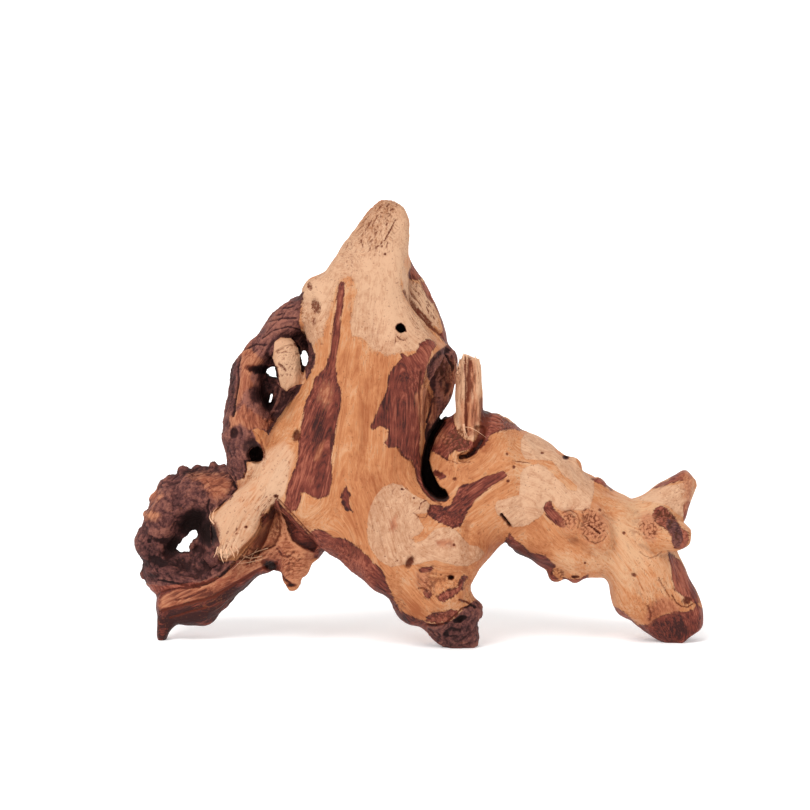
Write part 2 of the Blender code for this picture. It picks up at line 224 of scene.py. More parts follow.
class WoodNoise:
    """Noise for many points at once, the same on each run."""

    def __init__(self, seed: int) -> None:
        """Shuffles the tables.

        Args:
            seed: picks the pattern.
        """
        dice = np.random.default_rng(seed)
        self.order = dice.permutation(256)
        slopes = dice.normal(size=(256, 3))
        self.slopes = (slopes / np.linalg.norm(slopes, axis=1, keepdims=True)).astype(np.float32)
        self.strewn = dice.random((256, 3)).astype(np.float32)

    def pick(self, cell: Array) -> Array:
        """A table row for each whole-number cell."""
        order = self.order
        first = order[cell[:, 0] & 255]
        return order[(order[(first + cell[:, 1]) & 255] + cell[:, 2]) & 255]

    def waves(self, points: Array) -> Array:
        """Smooth waves about one unit wide.

        Args:
            points: places, one row each.

        Returns:
            One number from about -1 to 1 for each.
        """
        cell = np.floor(points).astype(np.int64)
        part = (points - cell).astype(np.float32)
        ease = part**3 * (part * (part * 6 - 15) + 10)
        total = np.zeros(len(points), np.float32)
        for corner in np.ndindex(2, 2, 2):
            step = np.array(corner)
            slope = self.slopes[self.pick(cell + step)]
            weight = np.prod(np.where(step, ease, 1 - ease), axis=1)
            total += weight * ((part - step) * slope).sum(axis=1)
        return total * 1.5

    def turbulence(self, points: Array, octaves: int) -> Array:
        """Waves with finer waves on them.

        Args:
            points: places, one row each.
            octaves: how many sizes of wave.

        Returns:
            One number from about -1 to 1 for each.
        """
        total = np.zeros(len(points), np.float32)
        for octave in range(octaves):
            total += self.waves(points * 2**octave + octave * 17.3) / 2**octave
        return total / (2 - 2 ** (1 - octaves))

    def cells(self, points: Array) -> tuple[Array, Array]:
        """Distances to the two nearest of points that are strewn one to a unit cell.

        Args:
            points: places, one row each.

        Returns:
            The distance to the nearest, and to the second nearest.
        """
        cell = np.floor(points).astype(np.int64)
        part = (points - cell).astype(np.float32)
        nearest = np.full(len(points), 9, np.float32)
        second = nearest.copy()
        for step in np.ndindex(3, 3, 3):
            near = np.array(step) - 1
            centre = self.strewn[self.pick(cell + near)] + near
            away = ((centre - part) ** 2).sum(axis=1)
            second = np.minimum(second, np.maximum(away, nearest))
            nearest = np.minimum(away, nearest)
        return np.sqrt(nearest), np.sqrt(second)


@dataclass(frozen=True)
class Outline:
    """A patch on the face of the wood, by its corners; its edge is as many times wider as soft says."""

    corners: Spots
    through: bool = False
    front_of: float = 99.0
    soft: float = 1.0

    def depth_inside(self, x: Array, y: Array, reach: float) -> Array:
        """How deep inside the outline each place is.

        Args:
            x: the places' pixels from the left.
            y: the places' pixels from the top.
            reach: how far outside the outline still counts.

        Returns:
            Millimetres from the outline, above 0 inside, and -reach from there on out.
        """
        corners = np.array((*self.corners, self.corners[0]))
        near = near_spots(x, y, corners, reach * PIXELS_PER_MM)
        px, py = x[near], y[near]
        inside = np.zeros(len(px), bool)
        for (ax, ay), (bx, by) in zip(corners, corners[1:]):
            if ay != by:
                inside ^= ((ay > py) != (by > py)) & (px < ax + (py - ay) * (bx - ax) / (by - ay))
        away = line_distance(px, py, corners) / PIXELS_PER_MM / self.soft
        found = np.full(len(x), -reach, np.float32)
        found[near] = np.maximum(np.where(inside, away, -away), -reach)
        return found


@dataclass(frozen=True)
class Slit:
    """A slot or torn edge: its outline, the depths between which it is cut, and how much shade is painted
    inside it.
    """

    corners: Spots
    near: float
    far: float
    dark: float = 0.0


@dataclass(frozen=True)
class Trail:
    """A crack, groove or ridge along a line on the face of the wood.

    half_width is in pixels and depth in millimetres; a depth below 0 makes a ridge. dark is how much shade is
    painted in it, darker than the wood around it.
    """

    spots: Spots
    half_width: float
    depth: float
    dark: float = 0.6

    def share(self, x: Array, y: Array) -> Array:
        """How much each place is in it: 1 on the line and 0 beside it.

        Args:
            x: the places' pixels from the left.
            y: the places' pixels from the top.

        Returns:
            One number from 0 to 1 for each.
        """
        spots = np.array(self.spots)
        near = near_spots(x, y, spots, 2 * self.half_width + 2)
        away = line_distance(x[near], y[near], spots)
        found = np.zeros(len(x), np.float32)
        found[near] = 1 - ramp(away, 0.3 * self.half_width, 1.5 * self.half_width)
        return found


@dataclass(frozen=True)
class Flecks:
    """Short dark strokes strewn over an oval.

    The radii and the longest stroke are in pixels; lean turns the strokes clockwise from upright, in degrees.
    """

    x: float
    y: float
    across: float
    high: float
    lean: float
    count: int
    longest: float

    def trails(self) -> list[Trail]:
        """The strokes, the same on each run."""
        dice = np.random.default_rng(round(self.x + 7 * self.y))
        made = []
        for _ in range(self.count):
            turn = dice.uniform(0, 2 * math.pi)
            away = math.sqrt(dice.uniform())
            x = self.x + self.across * away * math.cos(turn)
            y = self.y + self.high * away * math.sin(turn)
            lean = math.radians(self.lean + dice.normal(0, 9))
            reach = self.longest * dice.uniform(0.3, 1)
            end = (x + reach * math.sin(lean), y - reach * math.cos(lean))
            half_width = dice.uniform(0.5, 0.8)
            depth = dice.uniform(0.1, 0.3)
            made.append(Trail(((x, y), end), half_width, depth, dice.uniform(0.15, 0.42)))
        return made


@dataclass(frozen=True)
class Dent:
    """An oval pit in the face of the wood, or a bump where its depth is below 0.

    The radii are in pixels, tilt turns it clockwise in degrees, and depth is in millimetres. dark is how much
    shade is painted in it.
    """

    x: float
    y: float
    across: float
    high: float
    depth: float
    tilt: float = 0.0
    dark: float = 0.8

    def share(self, x: Array, y: Array) -> Array:
        """How much each place is in it: 1 in the middle and 0 outside.

        Args:
            x: the places' pixels from the left.
            y: the places' pixels from the top.

        Returns:
            One number from 0 to 1 for each.
        """
        turn = math.radians(self.tilt)
        dx, dy = x - self.x, y - self.y
        along = (dx * math.cos(turn) + dy * math.sin(turn)) / self.across
        over = (dy * math.cos(turn) - dx * math.sin(turn)) / self.high
        return 1 - ramp(np.sqrt(along**2 + over**2), 0.35, 1.25)


@dataclass(frozen=True)
class Bead:
    """A round swelling: the pixel and depth of its middle, its radius, and how far it stands out."""

    x: float
    y: float
    depth: float
    radius: float
    rise: float


@dataclass(frozen=True)
class Limb:
    """One limb as a list of ribs from its root to its tip.

    A rib is a section seen edge on from the front: the x and z of its two ends on the limb's outline, the
    depth y of its centre, and its half thickness. The squareness is 1 for an oval, and less for a flatter
    face with a tighter edge.
    """

    name: str
    squareness: float
    ribs: tuple[Numbers, ...]


LIMBS: tuple[Limb, ...] = (
    Limb("trunk", 0.72, ((-19, 224, -11.5, 223.5, 4, 5), (-23, 219, -7, 219.5, 3, 8),
        (-28, 213, -4.5, 213.5, 3, 10), (-34.5, 205.5, -4.5, 205.5, 2, 12), (-40, 197, -4.5, 196, 1, 15),
        (-46.5, 187.5, -4.5, 186, 0, 17), (-53, 175.5, -4.5, 174, 0, 19), (-56.5, 160.5, 5.5, 158.5, 0, 21),
        (-54.5, 147.5, 13.5, 148.5, -1, 22), (-57.5, 134.5, 7, 134.5, -2, 23),
        (-64.5, 121.5, 4, 121.5, -3, 24), (-73, 107.5, 3, 107.5, -4, 24), (-76, 92.5, 2, 92.5, -5, 25),
        (-75, 78.5, 7, 81.5, -6, 26), (-63.5, 62.5, 22, 71, -7, 26), (-46, 48.5, 34, 58.5, -8, 25),
        (-33.5, 39.5, 35.5, 48.5, -9, 24), (-26.5, 32, 31, 40, -9, 22), (-20, 28, 26.5, 30.5, -9, 20),
        (-13.5, 21.5, 29.5, 23.5, -9, 18), (-9, 14.5, 32.5, 19, -9, 15), (-3, 11, 30.5, 13, -9, 13),
        (4.5, 6.5, 31.5, 7.5, -8, 11), (9.5, 1.5, 32, 2.5, -8, 9), (14, -2, 30, -1, -8, 7))),
    Limb("back_ridge", 0.9, ((-16.5, 203, -4.5, 201, 12, 5), (-16.5, 191, -2.5, 191, 13, 8),
        (-16.5, 180, 3.4, 180, 14, 10), (-16.5, 169, 10.2, 169, 14, 12), (-14, 158.5, 13.5, 158, 14, 13),
        (-11.5, 149, 14.4, 149, 13, 14), (-11.5, 139, 11, 139, 12, 14))),
    Limb("bark_knob", 1.0, ((3.5, 150.5, 15.5, 149, 14, 7), (3.5, 144, 20, 144, 14, 10),
        (2, 135, 20, 135, 14, 11), (0, 126, 18.5, 127.5, 13, 12), (-3, 117.5, 15, 118, 12, 12),
        (-6.5, 108, 11.5, 109, 11, 12), (-8, 97, 9.5, 97, 11, 11), (-6, 84, 12, 84, 10, 10))),
    Limb("side_knob", 0.9, ((-46, 187, -48, 170, -2, 10), (-53, 185.5, -54.5, 171.5, -3, 9),
        (-57.5, 181, -58.5, 174.5, -4, 5))),
    Limb("tongue", 0.75, ((-66, 113.5, -44, 98.5, -8, 16), (-75.5, 101, -55, 86, -9, 16),
        (-81, 89.5, -65.5, 75.5, -11, 14), (-89.5, 80, -74.5, 67.5, -13, 12), (-99, 70, -79, 57.5, -15, 10),
        (-103, 61, -82.5, 51, -17, 8), (-102, 52, -87.5, 46, -18, 6), (-100, 45, -94, 42.5, -18, 3))),
    Limb("loop", 0.95, ((-51.5, 178.5, -50, 158.5, 4, 14), (-59.5, 175, -57.5, 157, 5, 14),
        (-67.5, 171, -63.5, 155, 6, 14), (-75.3, 162.8, -67.5, 152.5, 7, 14),
        (-82.3, 152.4, -72, 146, 7, 15), (-90.5, 144, -76.5, 140, 7, 16), (-93.5, 136, -78, 133, 6, 17),
        (-95.5, 125, -77.5, 124.5, 5, 17), (-98, 114.5, -74.5, 116.5, 4, 17), (-98, 105, -70.5, 107, 3, 17),
        (-97, 97, -70, 95, 2, 16), (-95, 88, -74, 84, 1, 13), (-91, 81, -80, 77, 0, 9))),
    Limb("loop_web", 0.8, ((-74, 155, -54, 155, 13, 7), (-79, 142, -52, 142, 13, 7),
        (-80, 128, -55, 128, 12, 7), (-77, 113, -62, 113, 11, 7))),
    Limb("cut_stub", 0.8, ((-71, 154.5, -63, 153, -3, 5), (-72.5, 147.5, -59.5, 147.5, -7, 6),
        (-71, 140.5, -59, 140.5, -9, 6.5), (-69.5, 133.5, -58.5, 133.5, -10, 6),
        (-68, 128.5, -62, 129, -10, 4))),
    Limb("ring", 0.95, ((-86, 88.5, -84, 60, 12, 13), (-98, 87.5, -99.5, 61, 19, 15),
        (-108.5, 86, -110, 59.5, 23, 16), (-120.5, 84, -117, 56, 25, 17), (-131, 78, -121, 52, 26, 18),
        (-136.5, 69, -124, 48, 26, 18), (-139.5, 58, -125, 45, 26, 17), (-144.5, 47.5, -125, 42, 25, 16),
        (-140, 39.5, -122.5, 41, 24, 16), (-138.8, 31.5, -117, 39.5, 23, 16),
        (-133.5, 22.5, -111, 37, 22, 15), (-118.5, 22, -105, 36.5, 20, 13))),
    Limb("ring_web", 1.0, ((-127, 66, -92.5, 69, 22, 10), (-130, 56, -97.5, 54, 24, 9),
        (-130, 48.5, -98.5, 46, 24, 9), (-126, 41.5, -98.5, 39, 22, 10), (-117, 32, -97.5, 30.5, 19, 11))),
    Limb("ring_rim", 0.9, ((-109, 66, -92.5, 69, 17, 13), (-109.5, 56, -97, 53.5, 18, 12),
        (-109.5, 48.5, -98, 46, 18, 12), (-111, 41.5, -98.5, 39, 17, 12))),
    Limb("root", 0.8, ((-59, 88, -39, 50.5, 0, 20), (-71.5, 72, -53, 46.5, 3, 18),
        (-81, 60, -66, 40.5, 7, 17), (-90, 48, -77, 35, 11, 16), (-99.5, 38.5, -86.5, 27.5, 14, 16),
        (-111, 32, -96.5, 17, 17, 15), (-121.5, 28.5, -105, 7.5, 18, 14), (-131, 24, -115.5, 7, 18, 13),
        (-133, 17, -123.5, 7.5, 17, 10))),
    Limb("root_tip", 0.9, ((-133, 18, -119, 9, 17, 9), (-132.5, 10, -125, 5, 15, 7),
        (-132.5, 4, -126, 3.5, 13, 6), (-132, -2, -127.5, -2, 13, 5.5))),
    Limb("spur", 0.9, ((-67.5, 63, -44, 50.5, 0, 14), (-72, 50.5, -48.5, 45.5, -1, 12),
        (-72, 42, -49.5, 42.5, -2, 10), (-70.5, 35.5, -52.5, 36.5, -3, 8), (-67, 29.5, -59, 29.5, -3, 5),
        (-64.5, 27, -61, 27, -3, 2))),
    Limb("limb", 0.8, ((-9, 88, 11, 28, -4, 20), (3, 92, 27, 35, -2, 24), (11, 103, 42, 51, 1, 25),
        (32, 117, 50, 46, 3, 26), (50.7, 108.8, 61, 39.5, 5, 26), (68.5, 99, 73.5, 32.5, 6, 25),
        (82, 87, 86, 33, 7, 24), (95, 78.2, 95, 32, 7, 23), (107, 72, 98.5, 19, 7, 22),
        (125.5, 53, 102, 13.5, 8, 20), (132.5, 41, 109, 9, 9, 18), (139, 27, 116, 4, 10, 16),
        (143, 16, 122.5, -0.5, 10, 13), (143.8, 7, 129, -3, 10, 11))),
    Limb("fork", 0.9, ((102, 69.8, 112, 42, 6, 18), (112, 73.2, 123.5, 52, 9, 15),
        (121.5, 79, 134.5, 60.5, 12, 12), (130, 84.5, 137.8, 70, 14, 9), (135.5, 87, 140.8, 79, 15, 6))),
    Limb("fork_knob", 0.9, ((113.5, 65.5, 116, 47, -2, 12), (122, 65, 123, 47.5, -7, 12),
        (131.5, 63.5, 130, 48.5, -10, 10), (137.5, 60, 136, 51.5, -11, 7))),
    Limb("shoulder", 0.9, ((11, 85.5, 36, 88, 2, 16), (7.5, 95.5, 32, 97, 2, 16),
        (8.5, 105, 31.5, 105, 3, 15), (13.5, 112.5, 32, 112, 3, 12), (20, 117, 31, 116.5, 1, 8))),
    Limb("snapped_stub", 0.7, ((17.5, 100.5, 32, 100.5, -3, 9), (18.5, 113.5, 32.5, 113.5, -5, 8),
        (19, 126, 32.5, 126, -6, 7), (19, 138.5, 31.7, 138.5, -6, 6.5), (20.5, 146, 31.3, 145, -6, 6))),
    Limb("rear_spine", 0.95, ((-34, 192, -22, 192, 6, 9), (-42, 168, -22, 168, 14, 10),
        (-47, 142, -24, 142, 18, 11), (-52, 114, -26, 114, 19, 12), (-54, 88, -24, 86, 18, 14),
        (-46, 66, -18, 62, 12, 14))),
    Limb("rear_root", 0.95, ((-30, 104, 10, 104, 6, 16), (-26, 84, 11, 84, 16, 16),
        (-19, 67, 13, 67, 25, 15), (-11, 53, 14, 53, 31, 13), (-4, 42, 13, 42, 35, 11),
        (0, 35, 11, 35, 37, 8))),
)

# Lumps that the wood grew: x, y and z of the middle, and the radius.
LUMPS: tuple[Numbers, ...] = (
    (-126, 21, 78.3, 4.5), (-118.5, 22, 82.3, 4.5), (-110.5, 21, 83.8, 4.5), (-103, 19, 84.8, 4.5),
    (-97, 16, 84.5, 4), (-133, 14, 61, 5), (-136.5, 14, 50, 5), (-131, 12, 36, 5), (-83, 1, 148, 5),
    (-92, -2, 128, 4.5), (-93, -6, 106, 5), (76, 3, 87.8, 6.5), (90.5, 1, 79, 5.5), (76, -16, 61.5, 6),
    (88.5, -15, 57.5, 9.5), (87, -15, 68, 5), (115, -9, 57.5, 7), (69.5, -4, 36.5, 5), (78.5, -6, 36, 5.5),
    (54, 8, 50, 7.5), (12.5, -22, 30, 11), (27, -12, 19, 6.5), (136, 5, 14, 7), (-30, 26, 100, 9),
    (70, 26, 72, 9), (104, 22, 50, 8), (-78, 12, 62.7, 5),
)

# Hollows that go through or deep into the wood: both ends, and the radius.
HOLLOWS: tuple[tuple[Numbers, Numbers, float], ...] = (
    ((-8.5, -40, 162.7), (-8.5, -8, 159.3), 2.2),
    ((-82, -30, 97), (-80, -4, 97), 4.2),
    ((-111, -30, 58.8), (-116, 60, 47.4), 2.5),
    ((-114, -30, 55.6), (-119.2, 60, 43.8), 2.6),
    ((-116.8, -30, 52.6), (-122.2, 60, 40.4), 2.6),
    ((-74, -30, 138), (-74.5, 60, 134), 2.2),
    ((-56.8, -30, 146), (-58.5, 60, 142), 1.8),
    ((30.5, -13, 111.9), (29.5, -22, 100.3), 2.6),
    ((29.5, -22, 100.3), (20.5, -17, 95.3), 2.6),
)

# How deep the middle of the wood lies; a slit that reaches farther goes right through.
DEPTH_OF_BACK = 12

# The faces of the two stubs and of the torn tongue.
CUT_STUB_FACE = Outline(((275, 342), (281, 338), (290, 339), (297, 346), (301, 356), (304, 372), (304, 381),
                         (296, 384), (286, 390), (281, 386), (278, 374), (273, 357)), front_of=-4)
SNAPPED_STUB_FACE = Outline(((456, 352), (482, 352), (482, 400), (480, 425), (474, 440), (466, 438),
                             (459, 432), (455, 420), (456, 400)), front_of=2)
TONGUE_FACE = Outline(((250, 462), (268, 450), (285, 440), (296, 455), (290, 478), (285, 495), (276, 503),
                       (262, 516), (256, 535), (240, 550), (224, 563), (213, 556), (218, 545), (209, 520),
                       (222, 505), (236, 488), (240, 474)))

# Slots and torn edges cut into the wood; the last number of a slot is how much shade is painted inside it.
CUTS: tuple[Slit, ...] = (
    # the deep crevice between the trunk and the shoulder
    Slit(((440, 415), (434, 423), (428, 432), (424, 445), (421, 460), (420, 475), (423, 487), (430, 496),
        (438, 502), (446, 502), (450, 498), (447, 492), (441, 489), (437, 482), (432, 472), (429, 460),
        (431, 447), (436, 434), (443, 424), (449, 415)), -70, 6, 1.0),
    # the gap through the wood above it
    Slit(((455.5, 393), (450, 401), (440, 416), (438.5, 420), (441, 420), (446, 415.5), (452, 409.5),
        (455.5, 405)), -70, 70, 0.5),
    # the bored hole
    Slit(((395, 326.5), (397, 323.5), (401, 322.5), (404, 324.5), (406, 328.5), (407, 332.5), (404, 331.6),
        (401, 333), (397, 331.5), (395, 329)), -70, -12, 1.0),
    # the notch behind the right limb's lower hump, and the sides of the spur
    Slit(((496, 552), (500, 545.5), (506, 541.5), (508, 545), (510, 551), (514, 557), (512, 566),
        (498, 562)), -70, 90),
    Slit(((301, 592), (300.6, 583), (302, 577.5), (306, 576.5), (309.4, 571), (312.4, 563), (322, 556),
        (326, 575), (310, 594)), -70, 90),
    Slit(((268, 582), (276, 571), (281, 572), (282.6, 580), (286, 585.5), (289, 590), (285, 596),
        (270, 594)), -70, 90),
    # the gap right of the cut stub, and the sliver above it
    Slit(((302, 350), (305, 349), (308, 353), (309, 358), (308, 364), (305, 367), (302, 365),
        (301, 357)), -70, 70, 0.8),
    Slit(((293, 343), (296, 343), (300, 347), (300, 350), (297, 348)), -1, 70, 0.8),
    # the gap left of the cut stub, and the slit under it
    Slit(((267, 374), (268, 369), (272, 366), (277, 366), (279, 377), (276, 378), (270, 377)), -1, 70, 0.8),
    Slit(((268, 403), (270, 396), (272, 390), (274, 390), (273, 398), (271, 404)), -3, 70, 0.8),
    # the hole through the ring of bark
    Slit(((174, 549), (179, 544), (185, 538), (190, 533), (195, 529), (197.4, 531), (197.4, 536),
        (193.5, 539), (189.5, 541), (188, 545), (189.5, 549), (192.5, 550.5), (188, 552.4),
        (181, 551.6)), -70, 90, 0.6),
    # the jagged top of the snapped stub
    Slit(((448, 340), (494, 340), (494, 366), (481, 366), (480.4, 359), (478, 357), (475, 358),
        (472, 356.5), (469.5, 355.5), (467, 353.5), (464, 352.4), (462, 354), (461, 359), (458, 361),
        (456, 374), (448, 374)), -40, 1),
    # the torn end and lower edge of the tongue
    Slit(((203, 548), (213, 549), (216, 556), (218, 555), (220, 558), (223, 561), (225, 559), (227, 560),
        (228, 556), (231, 558), (232, 554), (238, 552), (244, 546), (252, 538), (258, 530), (262, 521),
        (262, 514), (266, 514), (268, 510), (272, 508), (274, 501), (277, 499), (281, 507), (270, 540),
        (250, 575), (210, 580)), -70, -10),
)

# Steps in the face of the wood: an outline, and how far it lies back, or forward where that is below 0.
STEPS: tuple[tuple[Outline, float], ...] = (
    (Outline(((277, 500), (284, 507), (293, 516), (302, 526), (311, 536), (318, 546), (314, 552),
        (304, 549), (298, 545), (292, 541), (288, 530), (285, 520), (280, 512))), 3.2),
    (Outline(((276, 502), (282, 520), (281, 536), (276, 546), (262, 552), (248, 560), (236, 560),
        (246, 548), (256, 536), (262, 520), (266, 514), (272, 508))), 1.8),
    (Outline(((405, 262), (402, 275), (404, 288), (409, 300), (418, 314), (430, 327), (445, 342),
        (452, 330), (444, 300), (430, 275), (415, 255))), 0.7),
    (Outline(((446, 348), (438, 354), (431, 363), (428, 375), (431, 390), (430, 405), (425, 425),
        (424, 440), (430, 445), (438, 430), (446, 412), (462, 380), (462, 345))), 1.4),
    (Outline(((284, 345), (296, 343), (303, 352), (305, 372), (300, 390), (288, 402), (279, 410),
        (268, 411), (264, 398), (258, 385), (262, 368), (272, 352))), 1.6),
    (Outline(((417, 566), (432, 564), (450, 567), (462, 572), (467, 580), (462, 592), (448, 602),
        (434, 603), (424, 599), (416, 585))), 0.5),
    (Outline(((466, 364), (470, 359), (476, 363), (477, 376), (475, 392), (472, 402), (469, 414),
        (467, 432), (465, 425), (465, 400)), soft=1.6), 1.1),
    (Outline(((372, 560), (367, 545), (366, 530), (368, 512), (375, 496), (383, 487), (401, 485),
        (420, 497), (427, 512), (421, 520), (424, 530), (441, 527), (456, 530), (470, 548), (484, 553),
        (470, 566), (440, 563), (412, 566), (390, 567))), -0.22),
    (Outline(((520, 452), (520, 480), (519, 494), (498, 502), (496, 510), (509, 526), (527, 525),
        (540, 515), (546, 502), (560, 511), (589, 509), (594, 490), (577, 468), (552, 449),
        (530, 433))), -0.2),
)

# Cracks, grooves and ridges, with shade painted into them; the widest, beside the snapped stub, is mostly
# painted shade.
TRAILS: tuple[Trail, ...] = (
    Trail(((405, 291), (410, 301), (416, 310), (423, 318), (431, 326), (440, 334)), 1.9, 1.3, 0.4),
    Trail(((418, 309), (425, 316), (432, 323)), 1.2, 0.7, 0.4),
    Trail(((351, 240), (352, 262), (351, 285), (350, 310)), 2.0, 0.35, 0.1),
    Trail(((361, 240), (363, 247)), 0.7, 0.4, 0.35),
    Trail(((371, 220), (368, 226), (365, 231)), 0.7, 0.4, 0.35),
    Trail(((378, 214), (375, 220), (372, 226)), 0.6, 0.4, 0.3),
    Trail(((368, 242), (370, 250)), 0.6, 0.3, 0.3),
    Trail(((388, 242), (386, 248)), 0.6, 0.4, 0.4),
    Trail(((396, 219), (391, 229), (387, 236), (384, 241)), 0.55, 0.6, 0.6),
    Trail(((397, 336), (400, 339), (404, 340)), 0.7, 0.6, 0.5),
    Trail(((396, 334), (395, 344)), 0.6, 0.4, 0.35),
    Trail(((501, 515), (505, 520), (510, 526)), 1.5, 3.0, 0.95),
    Trail(((640, 552), (645, 556), (651, 558), (657, 556), (662, 552)), 0.7, 0.4, 0.2),
    Trail(((414, 513), (419, 517), (426, 517), (430, 511), (431, 504)), 0.6, 0.6, 0.45),
    Trail(((419, 510), (421, 503), (426, 500)), 0.5, 0.5, 0.5),
    Trail(((659, 578), (664, 588), (670, 597)), 1.0, 0.5, 0.3),
    Trail(((672, 595), (677, 603), (682, 606.5), (688, 607), (693, 604)), 0.8, 0.7, 0.5),
    Trail(((648, 606), (651, 614), (650, 620)), 1.2, 0.4, 0.2),
    Trail(((562, 513), (570, 510), (577, 514), (580, 521), (578, 528)), 0.7, 0.4, 0.25),
    Trail(((583, 534), (588, 541), (595, 544), (603, 541), (608, 533)), 0.7, 0.4, 0.25),
    Trail(((588, 525), (594, 528), (600, 533)), 0.8, 1.0, 0.7),
    Trail(((464.8, 356), (465, 372), (465.4, 395), (465.6, 415), (466, 432)), 1.0, 1.2, 0.6),
    Trail(((469.4, 354), (469.6, 370), (469, 385), (468, 400)), 2.6, 0.9, 0.4),
    Trail(((478, 364), (478.4, 385)), 0.5, 0.3, 0.15),
    Trail(((447, 350), (439, 354), (432, 363), (428.5, 374), (427.5, 386)), 3.0, 1.0, 0.3),
    Trail(((421, 372), (420, 392), (421, 412), (421, 432)), 1.0, 0.7, 0.35),
    Trail(((428, 388), (431, 400), (430, 412), (427, 422)), 1.0, 0.8, 0.35),
    Trail(((444, 352), (449, 358), (453, 368)), 1.0, 0.8, 0.4),
    Trail(((162, 611), (190, 604), (215, 597), (235, 584), (255, 572), (276, 563)), 1.6, 0.7, 0.5),
    Trail(((176, 600), (192, 596), (206, 590)), 0.8, 0.4, 0.3),
    Trail(((170, 618), (190, 612), (206, 608)), 1.2, 0.6, 0.45),
    Trail(((162, 592), (180, 588), (200, 587)), 0.8, 0.6, 0.4),
    Trail(((158, 580), (175, 583), (192, 587)), 0.9, 0.8, 0.55),
    Trail(((192, 586), (206, 583), (222, 574), (234, 562)), 1.5, 1.5, 0.7),
    Trail(((276, 497), (284, 506), (293, 515), (302, 525), (312, 536)), 0.8, 0.8, 0.5),
    Trail(((277, 549), (282, 556), (288, 557), (294, 552)), 1.0, 0.5, 0.25),
    Trail(((280, 574), (284, 580), (290, 583)), 1.4, 0.8, 0.8),
    Trail(((398, 448), (404, 457), (411, 461), (416, 468), (418, 480), (424, 491), (432, 499),
        (441, 504)), 1.2, 0.5, 0.3),
    Trail(((480.6, 439), (477.4, 447), (472, 453), (466, 456.8), (461, 457.4)), 1.8, 2.0, 0.85),
    Trail(((484.6, 400), (485, 416), (483.6, 430), (480, 441), (473, 449)), 4.6, 0.5, 0.55),
    Trail(((450, 452), (458, 447), (466, 446), (472, 443)), 0.9, 0.4, 0.25),
    Trail(((440, 456), (448, 460), (458, 463), (470, 462)), 0.8, 0.5, 0.3),
    Trail(((460, 600), (468, 602), (476, 607)), 1.2, 1.0, 0.6),
    Trail(((418, 589), (423, 588), (427, 591)), 0.9, 0.5, 0.35),
    Trail(((436, 597), (444, 592), (455, 588), (461, 582)), 1.2, 0.4, 0.25),
    Trail(((426, 625), (436, 625.6), (447, 623), (455, 616), (462, 609), (471, 605)), 1.0, 0.9, 0.5),
    Trail(((444, 633), (452, 629), (460, 631)), 1.4, 0.5, 0.4),
    Trail(((254, 431), (260, 437), (263, 446)), 0.9, 0.4, 0.3),
    Trail(((262, 445), (265, 455), (263, 466)), 1.4, 0.3, 0.25),
    Trail(((243, 478), (246, 470), (245, 462), (252, 460), (262, 457)), 1.1, 0.8, 0.5),
    Trail(((212, 512), (219, 508), (224, 502), (231, 498), (233, 492), (237, 489), (233, 484),
        (236, 477)), 1.1, 0.9, 0.4),
    Trail(((209, 500), (207, 508), (209, 518)), 0.9, 0.6, 0.4),
    Trail(((206, 480), (212, 486), (220, 485), (227, 489)), 0.7, 0.2, 0.15),
    Trail(((208, 487), (214, 492), (222, 491)), 0.7, 0.2, 0.15),
    Trail(((278, 364), (283, 367), (285.6, 370)), 1.1, 0.8, 0.45),
    Trail(((279, 377), (286, 374), (292, 375)), 0.8, 0.4, 0.2),
    Trail(((277, 353), (284, 351), (291, 352)), 0.8, 0.4, 0.2),
    Trail(((250, 318), (262, 312), (276, 309), (292, 306)), 0.9, 0.5, 0.2),
    Trail(((256, 330), (268, 322), (282, 318), (297, 318)), 0.9, 0.6, 0.25),
    Trail(((262, 338), (274, 330), (288, 327), (300, 330)), 0.9, 0.6, 0.25),
    Trail(((256, 324), (268, 317), (284, 313)), 0.8, 0.4, 0.15),
    Trail(((243, 350), (256, 344), (266, 345)), 0.9, 0.5, 0.2),
    Trail(((241, 352), (238, 366), (238, 384), (235, 400), (233, 416)), 1.2, 0.8, 0.25),
    Trail(((515, 461), (530, 463)), 0.6, 0.4, 0.4),
)

# Strokes strewn over weathered wood.
FLECKS: tuple[Flecks, ...] = (
    Flecks(373, 226, 17, 24, 30, 20, 5), Flecks(388, 208, 12, 6, 40, 12, 4),
    Flecks(350, 250, 11, 20, 20, 12, 5), Flecks(392, 252, 18, 12, 10, 10, 1.5),
    Flecks(416, 288, 6, 12, -26, 9, 6), Flecks(430, 313, 7, 15, -28, 16, 6),
    Flecks(288, 362, 10, 16, 65, 9, 4), Flecks(256, 500, 16, 22, 38, 9, 3),
    Flecks(668, 592, 8, 12, -30, 8, 6), Flecks(400, 560, 24, 5, 60, 10, 1.5),
    Flecks(402, 492, 14, 6, 30, 10, 1.5), Flecks(290, 555, 10, 14, 40, 14, 4),
    Flecks(232, 540, 12, 12, 35, 10, 4),
)
